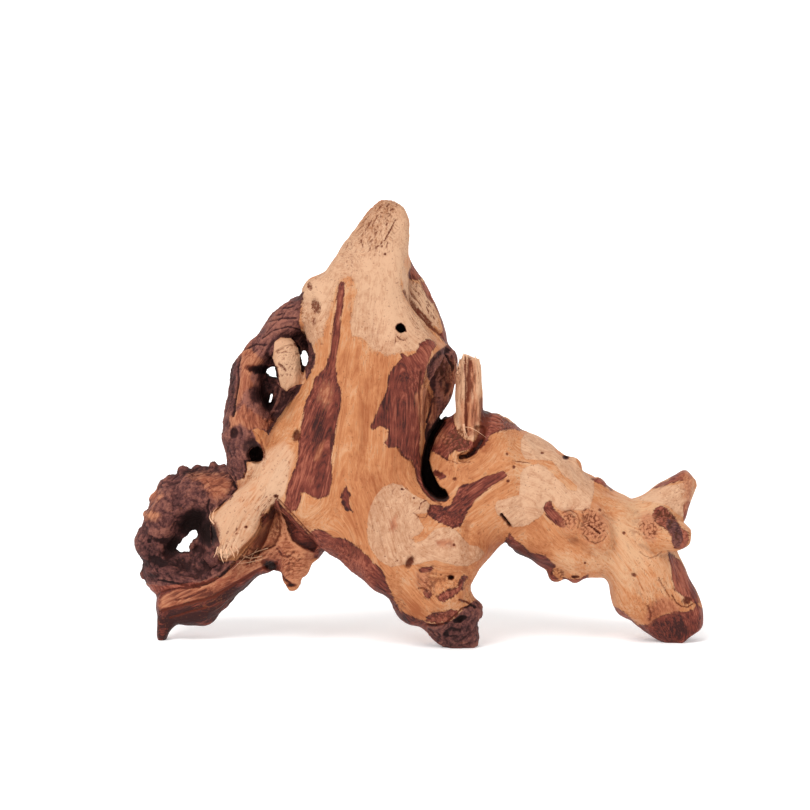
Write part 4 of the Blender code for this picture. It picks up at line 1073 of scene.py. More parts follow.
@dataclass
class GrownWood:
    """The wood as one closed body, before it is carved finely and painted."""

    ring_sides: int = 44
    steps_per_rib: int = 4
    rod_sides: int = 24
    fuse_voxel: float = 1.4 * MM
    fuse_rounds: int = 7
    fine_voxel: float = 0.6 * MM
    quick_voxel: float = 0.9 * MM
    fine_rounds: int = 3
    cutter_voxel: float = 0.5 * MM
    grain_size: Numbers = (7 * MM, 9 * MM, 60 * MM)
    grain_depth: float = 1.3 * MM
    swell_size: float = 17.0 * MM
    swell_depth: float = 1.0 * MM
    bark_lump_size: float = 7.0 * MM
    bark_lump_depth: float = 1.3 * MM
    bark_edge: float = -72 * MM
    bark_blend: float = 12 * MM
    slot_taper: float = 0.86

    def grow(self) -> bpy.types.Object:
        """Makes the body.

        Returns:
            The closed body, standing over the origin.
        """
        wood = self.fuse()
        self.add_swells(wood)
        wood.data.transform(Matrix.Translation(-STANDING_POINT))
        add_modifier(wood, "SUBSURF", levels=1, render_levels=1)
        bake(wood)
        self.carve(wood)
        voxel = self.fine_voxel
        add_modifier(wood, "REMESH", mode="VOXEL", voxel_size=voxel)
        add_modifier(wood, "SMOOTH", iterations=self.fine_rounds)
        bake(wood)
        return wood

    @staticmethod
    def rib_matrix(rib: Array) -> Matrix:
        """Takes a unit circle in its own XY plane to the rib's oval.

        Args:
            rib: left x and z, right x and z, depth and half thickness.

        Returns:
            The matrix.
        """
        left_x, left_z, right_x, right_z, depth, thickness = (float(v) * MM for v in rib)
        across = Vector(((right_x - left_x) / 2, 0, (right_z - left_z) / 2))
        back = Vector((0, max(thickness, MM), 0))
        along = across.cross(back).normalized()
        matrix = Matrix((across, back, along)).transposed().to_4x4()
        matrix.translation = ((left_x + right_x) / 2, depth, (left_z + right_z) / 2)
        return matrix

    def add_limb(self, bm: bmesh.types.BMesh, limb: Limb) -> None:
        """Extrudes a squared oval from rib to rib, which leaves one closed limb.

        Args:
            bm: what the limb is added to.
            limb: its ribs and squareness.
        """
        ribs = curve_through(np.array(limb.ribs, float), self.steps_per_rib)
        ring = bmesh.ops.create_circle(bm, cap_ends=True, segments=self.ring_sides, radius=1)["verts"]
        for vert in ring:
            vert.co.x = math.copysign(abs(vert.co.x) ** limb.squareness, vert.co.x)
            vert.co.y = math.copysign(abs(vert.co.y) ** limb.squareness, vert.co.y)
        sweep_ring(bm, ring, [self.rib_matrix(rib) for rib in ribs])

    def fuse(self) -> bpy.types.Object:
        """All limbs and lumps as one smooth body, where the ribs' numbers put them."""
        bm = bmesh.new()
        for limb in LIMBS:
            self.add_limb(bm, limb)
        for x, y, z, radius in LUMPS:
            place = Matrix.Translation(Vector((x, y, z)) * MM)
            bmesh.ops.create_icosphere(bm, subdivisions=3, radius=radius * MM, matrix=place)
        wood = object_from(bm, "wood")
        add_modifier(wood, "REMESH", mode="VOXEL", voxel_size=self.fuse_voxel)
        add_modifier(wood, "SMOOTH", iterations=self.fuse_rounds)
        bake(wood)
        return wood

    def add_swells(self, wood: bpy.types.Object) -> None:
        """Gives the body the same flutes, swells and bark lumps as its solids have.

        Args:
            wood: the fused body, not yet over the origin.
        """
        normals = [vert.normal.copy() for vert in wood.data.vertices]
        for vert, normal in zip(wood.data.vertices, normals):
            place = vert.co
            bark = min(1.0, max(0.0, (self.bark_edge - place.x) / self.bark_blend))
            swell = noise.noise(place / self.swell_size) * self.swell_depth
            along_grain = Vector(a / b for a, b in zip(place, self.grain_size))
            flute = noise.noise(along_grain) * self.grain_depth * (1 - bark)
            lump = noise.noise(place / self.bark_lump_size) * self.bark_lump_depth * bark
            vert.co = place + normal * (swell + flute + lump)

    def add_rod(self, bm: bmesh.types.BMesh, start: Numbers, end: Numbers, radius: float) -> None:
        """Adds a round rod that cuts a hollow.

        Args:
            bm: what the rod is added to.
            start: the middle of its near end.
            end: the middle of its far end.
            radius: its radius.
        """
        near, far = (Vector(spot) * MM - STANDING_POINT for spot in (start, end))
        turn = (far - near).to_track_quat("Z", "Y").to_matrix().to_4x4()
        place = Matrix.Translation((near + far) / 2) @ turn
        sizes = {"radius1": radius * MM, "radius2": radius * MM, "depth": (far - near).length}
        bmesh.ops.create_cone(bm, cap_ends=True, segments=self.rod_sides, matrix=place, **sizes)

    def add_slot(self, bm: bmesh.types.BMesh, slit: Slit) -> None:
        """Adds a block behind an outline, which cuts a slot; one that ends in the wood narrows.

        Args:
            bm: what the block is added to.
            slit: its outline and depths.
        """
        front = [bm.verts.new(VIEW.place(x, y, slit.near)) for x, y in slit.corners]
        _, *back = push_face(bm, bm.faces.new(front))
        ends = [VIEW.place(x, y, slit.far) for x, y in slit.corners]
        for vert in back:
            index = min(range(len(front)), key=lambda i: (front[i].co - vert.co).length_squared)
            vert.co = ends[index]
        if slit.far < DEPTH_OF_BACK:
            middle = sum(ends, Vector()) / len(ends)
            shrink = Matrix.Diagonal((self.slot_taper,) * 3).to_4x4()
            place = Matrix.Translation(middle) @ shrink @ Matrix.Translation(-middle)
            bmesh.ops.transform(bm, matrix=place, verts=back)

    def carve(self, wood: bpy.types.Object) -> None:
        """Cuts the hollows, slots and torn edges out of the body.

        Args:
            wood: the smooth body over the origin.
        """
        bm = bmesh.new()
        for start, end, radius in HOLLOWS:
            self.add_rod(bm, start, end, radius)
        for slit in CUTS:
            self.add_slot(bm, slit)
        cutter = object_from(bm, "cutter")
        add_modifier(cutter, "REMESH", mode="VOXEL", voxel_size=self.cutter_voxel)
        bake(cutter)
        cut(wood, cutter, "DIFFERENCE")
        discard(cutter)


@dataclass(frozen=True)
class GrainField:
    """Which way the grain runs; softness is how many pixels its strands blend over."""

    softness: float = 9.0

    def at(self, x: Array, y: Array, depth: Array) -> Array:
        """The grain's own coordinates.

        Args:
            x: the places' pixels from the left.
            y: the places' pixels from the top.
            depth: the places' y in millimetres.

        Returns:
            Across, depth and along, in millimetres, one row for each place.
        """
        total, across, along = np.zeros((3, len(x)))
        for strand in STRANDS:
            spots = np.array(strand)
            closest = np.full(len(x), 1e9)
            side, reach = np.zeros((2, len(x)))
            run = 0.0
            for (ax, ay), (bx, by) in zip(spots, spots[1:]):
                dx, dy = bx - ax, by - ay
                length = math.hypot(dx, dy)
                t = np.clip(((x - ax) * dx + (y - ay) * dy) / length**2, 0, 1)
                away = np.hypot(x - ax - t * dx, y - ay - t * dy)
                sided = ((x - ax) * dy - (y - ay) * dx) / length
                nearer = away < closest
                closest = np.where(nearer, away, closest)
                side = np.where(nearer, np.where(sided < 0, -away, away), side)
                reach = np.where(nearer, run + t * length, reach)
                run += length
            weight = 1 / (closest**2 + self.softness**2) ** 2
            total += weight
            across += weight * side
            along += weight * reach
        total *= PIXELS_PER_MM
        return np.stack([across / total, depth, along / total], axis=1).astype(np.float32)


class CarvedFace:
    """The wood's surface as arrays, on which it is carved and painted.

    EDGE is how many millimetres inside or outside an outline are told apart, and TONE_LIMIT is the
    strongest tone either way.
    """

    EDGE = 6
    TONE_LIMIT = 2.2

    def __init__(self, wood: bpy.types.Object) -> None:
        """Reads the surface.

        Args:
            wood: the refined body over the origin.
        """
        self.mesh = wood.data
        self.points = read_rows(self.mesh.vertices, "co", 3)
        count = len(self.points)
        self.ends = read_rows(self.mesh.edges, "vertices", 2, np.int32)
        self.neighbours = np.bincount(self.ends.ravel(), minlength=count).astype(np.float32)
        self.x, self.y = VIEW.pixels(self.points.astype(float))
        self.facing = self.broad_facing()
        self.grain = GrainField().at(self.x, self.y, self.points[:, 1] / MM)
        self.dark, self.rough, self.frayed, self.torn = np.zeros((4, count), np.float32)
        self.kinds: dict[str, Array] = {}
        self.noise = WoodNoise(11)
        self.other_noise = WoodNoise(23)

    def normals(self) -> Array:
        """The surface's outward directions, one row each."""
        return read_rows(self.mesh.vertices, "normal", 3)

    def averaged(self, values: Array, rounds: int) -> Array:
        """Evens out numbers over the surface.

        Args:
            values: one number or row for each point.
            rounds: how often each takes the mean of its neighbours.

        Returns:
            The evened numbers.
        """
        first, second = self.ends.T
        count = len(values)
        columns = values.reshape(count, -1).T
        for _ in range(rounds):
            columns = [
                (np.bincount(first, column[second], count) + np.bincount(second, column[first], count))
                / self.neighbours
                for column in columns
            ]
        return np.stack(columns, axis=1).astype(np.float32).reshape(values.shape)

    def broad_facing(self) -> Array:
        """How much the wood's broad form faces the camera, from 1 to -1 behind."""
        smooth = self.averaged(self.normals(), 12)
        smooth /= np.linalg.norm(smooth, axis=1, keepdims=True) + 1e-9
        rays = np.array(VIEW.eye) - self.points
        rays /= np.linalg.norm(rays, axis=1, keepdims=True)
        return (smooth * rays).sum(axis=1)

    def write(self) -> None:
        """Puts the moved points back into the mesh."""
        self.mesh.vertices.foreach_set("co", self.points.astype(np.float32).ravel())
        self.mesh.update()

    def push(self, outward: Array) -> None:
        """Moves each point along its normal.

        Args:
            outward: by how many millimetres.
        """
        self.points += self.normals() * (outward * MM)[:, None]
        self.write()

    def mark_kinds(self) -> None:
        """Finds how deep inside each kind of wood every place is, in millimetres.

        Where the wood faces the picture its outlines say it, and elsewhere noise does.
        """
        front = ramp(self.facing, -0.3, 0.1)
        across = self.grain / np.array((17, 17, 80))
        behind = {
            "heart": self.noise.turbulence(across, 2) * 11 - 2.0,
            "bark": self.noise.turbulence(self.points / (24 * MM), 2) * 8 - 3.2,
            "pale": self.other_noise.turbulence(across * 0.8, 2) * 10 - 2.6,
            "blush": self.other_noise.turbulence(across * 1.3 + 5, 2) * 8 - 3.0,
        }
        for kind, outlines in (("heart", HEARTWOOD), ("bark", BARK), ("pale", PALE), ("blush", BLUSH)):
            seen = np.full(len(self.x), -self.EDGE, np.float32)
            whole = seen.copy()
            for outline in outlines:
                inside = outline.depth_inside(self.x, self.y, self.EDGE)
                seen = np.maximum(seen, inside)
                if outline.through:
                    whole = np.maximum(whole, inside)
            field = np.clip(seen * front + behind[kind] * (1 - front), -self.EDGE, self.EDGE)
            self.kinds[kind] = np.maximum(field, whole)
        self.bare_stubs()

    def bare_stubs(self) -> None:
        """Leaves the two stubs, which stand in front of darker wood, pale and torn."""
        stubs = np.zeros(len(self.x), np.float32)
        for outline in (CUT_STUB_FACE, SNAPPED_STUB_FACE):
            inside = outline.depth_inside(self.x, self.y, self.EDGE)
            ahead = ramp(self.points[:, 1] / MM, outline.front_of + 0.6, outline.front_of - 0.6)
            stubs = np.maximum(stubs, ramp(inside, -1.2, 0.3) * ahead)
        tongue = TONGUE_FACE.depth_inside(self.x, self.y, self.EDGE)
        self.torn = np.maximum(stubs, ramp(tongue, -1, 2) * ramp(self.facing, 0, 0.3))
        for kind in ("heart", "bark"):
            self.kinds[kind] = self.kinds[kind] * (1 - stubs) - self.EDGE * stubs

    def carve_forms(self) -> None:
        """Cuts the steps, pits, cracks and grooves that the face shows, and paints shade into the pits,
        cracks and slots.
        """
        seen = ramp(self.facing, 0.02, 0.3)
        away = -np.array(VIEW.back)
        for outline, depth in STEPS:
            share = ramp(outline.depth_inside(self.x, self.y, 3), -0.3, 0.9) * seen
            self.points += (share * depth * MM)[:, None] * away
        for dent in DENTS:
            share = dent.share(self.x, self.y) * seen
            self.points += (share * dent.depth * MM)[:, None] * away
            self.dark = np.maximum(self.dark, share * dent.dark)
        sunk = np.zeros(len(self.x), np.float32)
        strewn = [trail for flecks in FLECKS for trail in flecks.trails()]
        for trail in (*TRAILS, *strewn):
            share = trail.share(self.x, self.y) * seen
            sunk = np.maximum(sunk, share * trail.depth)
            self.dark = np.maximum(self.dark, share * trail.dark)
        # Painted shade where the slots open.
        for slit in CUTS:
            inside = Outline(slit.corners).depth_inside(self.x, self.y, 2)
            self.dark = np.maximum(self.dark, ramp(inside, -0.3, 0.5) * slit.dark)
        for x, y, radius, strength in BURLS:
            away_from = np.hypot(self.x - x, self.y - y) / radius
            self.rough = np.maximum(self.rough, (1 - ramp(away_from, 0.55, 1.15)) * strength * seen)
        for x, y, across, high, strength in FRAYED:
            away_from = np.hypot((self.x - x) / across, (self.y - y) / high)
            self.frayed = np.maximum(self.frayed, (1 - ramp(away_from, 0.4, 1.2)) * strength)
        self.frayed *= ramp(self.facing, -0.4, 0.0)
        self.push(self.beads() - sunk)

    def beads(self) -> Array:
        """How far the beads on the bark lift each place, in millimetres."""
        lift = np.zeros(len(self.x), np.float32)
        for bead in BEADS:
            middle = np.array(VIEW.place(bead.x, bead.y, bead.depth))
            away = np.linalg.norm(self.points - middle, axis=1) / (bead.radius * MM)
            lift = np.maximum(lift, (1 - ramp(away, 0.2, 1.0)) * bead.rise)
        return lift

    def front(self, x: float, y: float) -> float:
        """The depth of the wood's surface at a pixel, in millimetres.

        Args:
            x: the pixel from the left.
            y: the pixel from the top.

        Returns:
            The y of the nearest surface to the camera.
        """
        away = np.hypot(self.x - x, self.y - y)
        near = away < max(1.5, away.min() + 1)
        return float(self.points[near, 1].min() / MM)

    def add_relief(self) -> None:
        """Raises the grain, the torn fibres, the burls and the bark.

        Each wave is as many millimetres wide as its divisor says, across the grain, in depth and along it,
        or all ways alike, and each factor is a height in millimetres.
        """
        heart = ramp(self.kinds["heart"], -0.4, 0.6)
        bark = ramp(self.kinds["bark"], -0.8, 1.0) * (1 - self.torn)
        heart = heart * (1 - bark)
        sound = 1 - np.maximum(bark, heart)
        blush = ramp(self.kinds["blush"], -0.5, 1.0)
        grain = self.grain
        wave, other = self.noise, self.other_noise
        fine = wave.waves(grain / (1.9, 2.2, 24))
        broad = other.waves(grain / (4.6, 6.0, 50))
        height = sound * (0.14 * fine + 0.30 * broad)
        height += heart * (0.26 * wave.turbulence(grain / (1.9, 2.2, 12), 2) - 0.16)
        bundle = np.abs(wave.waves(grain / (2.1, 2.5, 15))) - 0.3
        strand = np.abs(other.waves(grain / (1.3, 1.5, 8) + 4)) - 0.3
        height += self.torn * (0.45 * bundle + 0.35 * strand)
        height += self.frayed * (1 - 0.6 * bark) * (0.9 * bundle + 0.8 * strand)
        spots = self.points / MM
        warp = np.stack([wave.waves(spots / 8 + shift) for shift in (0, 31, 57)], axis=1)
        bent = spots + 2.6 * warp
        billow = np.abs(wave.waves(bent / 6.2)) - 0.3
        knobs = np.abs(other.waves(bent / 3.4)) - 0.3
        skin = np.abs(other.waves(bent / 1.8 + 9)) - 0.3
        folds = np.abs(wave.waves((grain + 1.5 * warp) / (3.4, 5.0, 16))) - 0.3
        ring = ramp(self.y, 452, 480)
        height += bark * (0.5 * skin + (0.2 + 0.4 * ring) * knobs) * (1 - 0.75 * blush)
        height += bark * (ring * 1.1 * billow + (1.2 - ring) * 0.9 * folds) * (1 - 0.5 * blush)
        small, next_small = other.cells(bent / 2.1)
        burl = 0.8 * (0.5 - small) - 0.35 * ramp(next_small - small, 0.3, 0.0)
        height += self.rough * (1 - 0.6 * bark) * (burl + 0.9 * skin)
        self.push(height)

    def settle(self) -> None:
        """Keeps the wood inside its solids' box, which leaves its feet flat on the ground."""
        low, high = (np.array(corner) for corner in CAD_BOX)
        self.points = np.clip(self.points, low, high).astype(np.float32)
        self.write()

    def sunk_below(self, rounds: int, full: float) -> Array:
        """How far each place lies below its surroundings, where full millimetres count as 1."""
        below = (self.averaged(self.points, rounds) - self.points) * self.normals()
        return below.sum(axis=1) / (full * MM)

    def find_hollows(self) -> Array:
        """How hollow the surface is, from -1 on a crest to 1 in a furrow; the finish paints shade into the
        furrows and light onto the crests from it.
        """
        return np.clip(0.55 * self.sunk_below(5, 0.16) + 0.7 * self.sunk_below(40, 0.9), -1, 1)

    def paint(self) -> None:
        """Writes what the finish needs onto the mesh."""
        tone = np.zeros(len(self.x), np.float32)
        front = ramp(self.facing, -0.3, 0.1)
        for x, y, across, high, amount in TONES:
            away = ((self.x - x) / across) ** 2 + ((self.y - y) / high) ** 2
            tone += amount * np.exp(-1.4 * away)
        behind = 0.7 * self.noise.waves(self.grain / (26, 26, 60))
        tone = np.clip(tone * front + behind * (1 - front), -self.TONE_LIMIT, self.TONE_LIMIT)
        rough = np.maximum(self.rough, self.frayed)
        # dark and sunk carry painted light: dark is the shade painted into pits, cracks and slots, and sunk
        # sets the shade painted in hollows and the light painted on crests.
        numbers = {**self.kinds, "dark": self.dark, "tone": tone, "rough": rough,
                   "torn": self.torn, "sunk": self.find_hollows()}
        for name, values in numbers.items():
            layer = self.mesh.attributes.new(name, "FLOAT", "POINT")
            layer.data.foreach_set("value", values.astype(np.float32))
        for name, rows in (("grain", self.grain), ("skin_normal", self.normals())):
            layer = self.mesh.attributes.new(name, "FLOAT_VECTOR", "POINT")
            layer.data.foreach_set("vector", rows.astype(np.float32).ravel())
        skin = self.mesh.attributes.new("skin", "BOOLEAN", "FACE")
        skin.data.foreach_set("value", np.ones(len(self.mesh.polygons), bool))


@dataclass(frozen=True)
class Fork:
    """Where one limb is parted from the rest: its outline in x and z, between two depths."""

    name: str
    node: str
    slot: Slot
    corners: Spots
    near: float = -80
    far: float = 80


FORKS: tuple[Fork, ...] = (
    Fork("cut_stub_wood", "cut_stub", Slot.TORN_WOOD, ((-75, 150), (-57.5, 150), (-56.5, 126),
        (-75, 126)), -60, 2),
    Fork("torn_limb_wood", "torn_limb", Slot.TORN_WOOD, ((-85, 94), (-63, 73), (-73, 66), (-77.5, 57),
        (-81.5, 49.5), (-88, 44.5), (-96, 40), (-106, 46), (-106, 64), (-97, 78)), -60, -4),
    Fork("loop_root_wood", "loop_root", Slot.BARK, ((-64, 178), (-58, 171.5), (-55.5, 158), (-54.5, 147),
        (-57.5, 134.5), (-65, 121.5), (-72.5, 108), (-76, 96), (-101, 88), (-110, 100), (-110, 160),
        (-82, 184))),
    Fork("bark_ring_wood", "bark_ring", Slot.BARK, ((-155, 104), (-91, 104), (-92, 70), (-94, 52),
        (-100, 40), (-113, 32), (-128, 26), (-155, 21))),
    Fork("left_root_wood", "left_root", Slot.HEARTWOOD, ((-155, 92), (-79, 92), (-72, 78), (-62, 64),
        (-49, 50), (-46, 43), (-46, -10), (-155, -10))),
    Fork("snapped_stub_wood", "snapped_stub", Slot.TORN_WOOD, ((16, 115), (36, 118.5), (36, 155),
        (18.2, 155), (18.2, 124)), -60, 1.7),
    Fork("right_foot_wood", "right_foot", Slot.HEARTWOOD, ((94, 33), (128, 45.5), (160, 45.5), (160, -10),
        (90, -10))),
    Fork("right_prong_wood", "right_prong", Slot.SAPWOOD, ((104, 95), (106, 68), (112, 50), (128, 46.5),
        (160, 46.5), (160, 95))),
    Fork("right_limb_wood", "right_limb", Slot.SAPWOOD, ((40, 45), (12.5, 70), (9, 80), (8, 95), (9, 106),
        (13, 113.5), (16.5, 120), (18.5, 130), (160, 130), (160, -10), (44, -10))),
    Fork("trunk_crown_wood", "trunk", Slot.SAPWOOD, ((-90, 105), (60, 105), (60, 240), (-90, 240))),
)
TRUNK_BASE = Fork("trunk_base_wood", "trunk", Slot.SAPWOOD, ())


class Parting:
    """Parts the finished body at its forks, each cut closed, with no seam on the outside."""

    def __init__(self, wood: bpy.types.Object) -> None:
        """Keeps the painted surface, for the points that the cuts add.

        Args:
            wood: the painted body.
        """
        self.wood = wood
        mesh = wood.data
        painted = [layer.name for layer in mesh.attributes if layer.domain == "POINT"]
        self.layers = [name for name in painted if name != "position"]
        self.values = {name: self.read(mesh, name) for name in self.layers}
        self.tree = KDTree(len(mesh.vertices))
        for index, vert in enumerate(mesh.vertices):
            self.tree.insert(vert.co, index)
        self.tree.balance()

    @staticmethod
    def read(mesh: bpy.types.Mesh, name: str) -> Array:
        """A painted layer's values, one row for each point."""
        layer = mesh.attributes[name]
        if layer.data_type == "FLOAT_VECTOR":
            return read_rows(layer.data, "vector", 3)
        return read_rows(layer.data, "value")[:, None]

    def paint_cuts(self, mesh: bpy.types.Mesh) -> None:
        """Gives the points that the cuts added what the surface beside them has."""
        added = np.flatnonzero(~self.read(mesh, "skin_normal").any(axis=1))
        if not len(added):
            return
        near = [self.tree.find_n(mesh.vertices[int(index)].co, 3) for index in added]
        rows = np.array([[index for _, index, _ in found] for found in near])
        weights = 1 / (np.array([[away for _, _, away in found] for found in near]) + 0.01 * MM)
        weights /= weights.sum(axis=1, keepdims=True)
        for name in self.layers:
            values = self.read(mesh, name)
            values[added] = (self.values[name][rows] * weights[:, :, None]).sum(axis=1)
            field = "vector" if values.shape[1] == 3 else "value"
            mesh.attributes[name].data.foreach_set(field, values.ravel())

    def part(self) -> list[tuple[bpy.types.Object, Fork]]:
        """Parts the body, which becomes the lower trunk.

        Returns:
            Each limb with its fork.
        """
        wood = self.wood
        limbs = []
        for fork in FORKS:
            block = self.block(fork)
            limb = bpy.data.objects.new(fork.name, wood.data.copy())
            bpy.context.scene.collection.objects.link(limb)
            cut(limb, block, "INTERSECT")
            cut(wood, block, "DIFFERENCE")
            discard(block)
            limbs.append((limb, fork))
        wood.name = TRUNK_BASE.name
        limbs.append((wood, TRUNK_BASE))
        for limb, _ in limbs:
            self.drop_crumbs(limb.data)
            self.paint_cuts(limb.data)
            self.keep_shading(limb.data)
        return limbs

    @staticmethod
    def block(fork: Fork) -> bpy.types.Object:
        """The block that holds one limb.

        Args:
            fork: its outline and depths.

        Returns:
            The block, as a helper object.
        """
        bm = bmesh.new()
        corners = [Vector((x, fork.near, z)) * MM - STANDING_POINT for x, z in fork.corners]
        _, *far_end = push_face(bm, bm.faces.new([bm.verts.new(corner) for corner in corners]))
        bmesh.ops.translate(bm, vec=(0, (fork.far - fork.near) * MM, 0), verts=far_end)
        return object_from(bm, "block")

    @staticmethod
    def drop_crumbs(mesh: bpy.types.Mesh) -> None:
        """Keeps only the largest body of a mesh, without the crumbs that a cut leaves."""
        first, second = read_rows(mesh.edges, "vertices", 2, np.int32).T
        body = np.arange(len(mesh.vertices))
        while True:
            lowest = np.minimum(body[first], body[second])
            before = body.copy()
            np.minimum.at(body, first, lowest)
            np.minimum.at(body, second, lowest)
            body = body[body]
            if (body == before).all():
                break
        names, sizes = np.unique(body, return_counts=True)
        if len(names) == 1:
            return
        keep = body == names[sizes.argmax()]
        bm = bmesh.new()
        bm.from_mesh(mesh)
        bm.verts.ensure_lookup_table()
        crumbs = [bm.verts[int(index)] for index in np.flatnonzero(~keep)]
        bmesh.ops.delete(bm, geom=crumbs, context="VERTS")
        bm.to_mesh(mesh)
        bm.free()

    @staticmethod
    def keep_shading(mesh: bpy.types.Mesh) -> None:
        """Shades the outside by the whole body's normals, and each cut flat."""
        owners = read_rows(mesh.loops, "vertex_index", 1, np.int32)
        sizes = read_rows(mesh.polygons, "loop_total", 1, np.int32)
        skin = read_rows(mesh.attributes["skin"].data, "value", 1, bool)
        flat = read_rows(mesh.polygons, "normal", 3)
        whole = read_rows(mesh.attributes["skin_normal"].data, "vector", 3)
        face = np.repeat(np.arange(len(sizes)), sizes)
        rows = np.where(skin[face, None], whole[owners], flat[face])
        rows /= np.linalg.norm(rows, axis=1, keepdims=True) + 1e-9
        mesh.shade_smooth()
        mesh.normals_split_custom_set(rows.tolist())
        for name in ("skin", "skin_normal"):
            mesh.attributes.remove(mesh.attributes[name])


class Signal:
    """A number that varies over the surface; arithmetic on it adds Math nodes."""

    def __init__(self, kit: "ShaderKit", socket: bpy.types.NodeSocket) -> None:
        """Wraps a socket."""
        self.kit = kit
        self.socket = socket

    def __add__(self, other: Any) -> "Signal":
        """The sum."""
        return self.kit.math("ADD", self, other)

    __radd__ = __add__

    def __sub__(self, other: Any) -> "Signal":
        """The difference."""
        return self.kit.math("SUBTRACT", self, other)

    def __rsub__(self, other: Any) -> "Signal":
        """A number less this."""
        return self.kit.math("SUBTRACT", other, self)

    def __mul__(self, other: Any) -> "Signal":
        """The product."""
        return self.kit.math("MULTIPLY", self, other)

    __rmul__ = __mul__


class ShaderKit:
    """Builds one material's nodes."""

    def __init__(self, name: str) -> None:
        """Starts a material.

        Args:
            name: its name.
        """
        self.material = bpy.data.materials.new(name)
        self.material.use_nodes = True
        self.tree = self.material.node_tree
        self.shader = self.tree.nodes["Principled BSDF"]

    def node(self, kind: str, settings: dict[str, Any], values: dict[Any, Any]) -> bpy.types.Node:
        """Adds a node.

        Args:
            kind: its type, without the ShaderNode in front.
            settings: its settings, set first.
            values: a value or a link for each named or numbered socket.

        Returns:
            The node.
        """
        made = self.tree.nodes.new("ShaderNode" + kind)
        for name, setting in settings.items():
            setattr(made, name, setting)
        for key, value in values.items():
            self.feed(made.inputs[key], value)
        return made

    def feed(self, socket: bpy.types.NodeSocket, value: Any) -> None:
        """Links a socket to a signal or another socket, or sets its value."""
        if isinstance(value, Signal):
            value = value.socket
        if isinstance(value, bpy.types.NodeSocket):
            self.tree.links.new(value, socket)
        else:
            socket.default_value = value

    def math(self, operation: str, first: Any, second: Any) -> Signal:
        """A Math node on two numbers."""
        made = self.node("Math", {"operation": operation}, {0: first, 1: second})
        return Signal(self, made.outputs[0])

    def layer(self, name: str) -> Signal:
        """A number painted on the surface."""
        made = self.node("Attribute", {"attribute_name": name}, {})
        return Signal(self, made.outputs["Fac"])

    def place(self) -> bpy.types.NodeSocket:
        """Where the surface is, in millimetres."""
        return self.scaled(self.node("TexCoord", {}, {}).outputs["Object"], (1 / MM,) * 3)

    def scaled(self, vector: bpy.types.NodeSocket, sizes: Numbers) -> bpy.types.NodeSocket:
        """A vector with each part multiplied."""
        made = self.node("VectorMath", {"operation": "MULTIPLY"}, {0: vector, 1: sizes})
        return made.outputs[0]

    def clouds(self, vector: Any, pitch: Numbers, detail: float, roughness: float = 0.55) -> Signal:
        """Noise from -0.5 to 0.5, with the pitch's number of clouds to a unit of each direction."""
        values = {"Scale": 1.0, "Detail": detail, "Roughness": roughness}
        values["Vector"] = self.scaled(vector, pitch)
        return Signal(self, self.node("TexNoise", {}, values).outputs[0]) - 0.5

    def rise(self, value: Signal, low: float, high: float) -> Signal:
        """A smooth rise from 0 at low to 1 at high."""
        settings = {"interpolation_type": "SMOOTHSTEP"}
        made = self.node("MapRange", settings, {"Value": value, "From Min": low, "From Max": high})
        return Signal(self, made.outputs[0])

    def mix(self, factor: Any, first: Any, second: Any) -> bpy.types.NodeSocket:
        """A colour between two.

        Args:
            factor: 0 for the first and 1 for the second.
            first: a colour or a link.
            second: a colour or a link.

        Returns:
            The mixed colour.
        """
        settings = {"data_type": "RGBA", "clamp_factor": True}
        return self.node("Mix", settings, {0: factor, 6: first, 7: second}).outputs[2]

    def shade(self, factor: Signal, dark: Numbers, middle: Numbers, light: Numbers) -> bpy.types.NodeSocket:
        """A colour on a scale of three.

        Args:
            factor: 0 for dark, 0.5 for middle and 1 for light.
            dark: the first colour.
            middle: the second colour.
            light: the third colour.

        Returns:
            The colour.
        """
        lower = self.mix(factor * 2.0, dark, middle)
        return self.mix(factor * 2.0 - 1.0, lower, light)

    def finish(self, values: dict[str, Any]) -> bpy.types.Material:
        """The material, with a value or a link for each of its shader's named sockets."""
        for name, value in values.items():
            self.feed(self.shader.inputs[name], value)
        return self.material


def linear(red: float, green: float, blue: float) -> Numbers:
    """A colour as the shader takes it, from its 0 to 255 numbers on a screen."""
    parts = []
    for part in (red, green, blue):
        share = part / 255
        parts.append(share / 12.92 if share <= 0.04045 else ((share + 0.055) / 1.055) ** 2.4)
    return (*parts, 1.0)


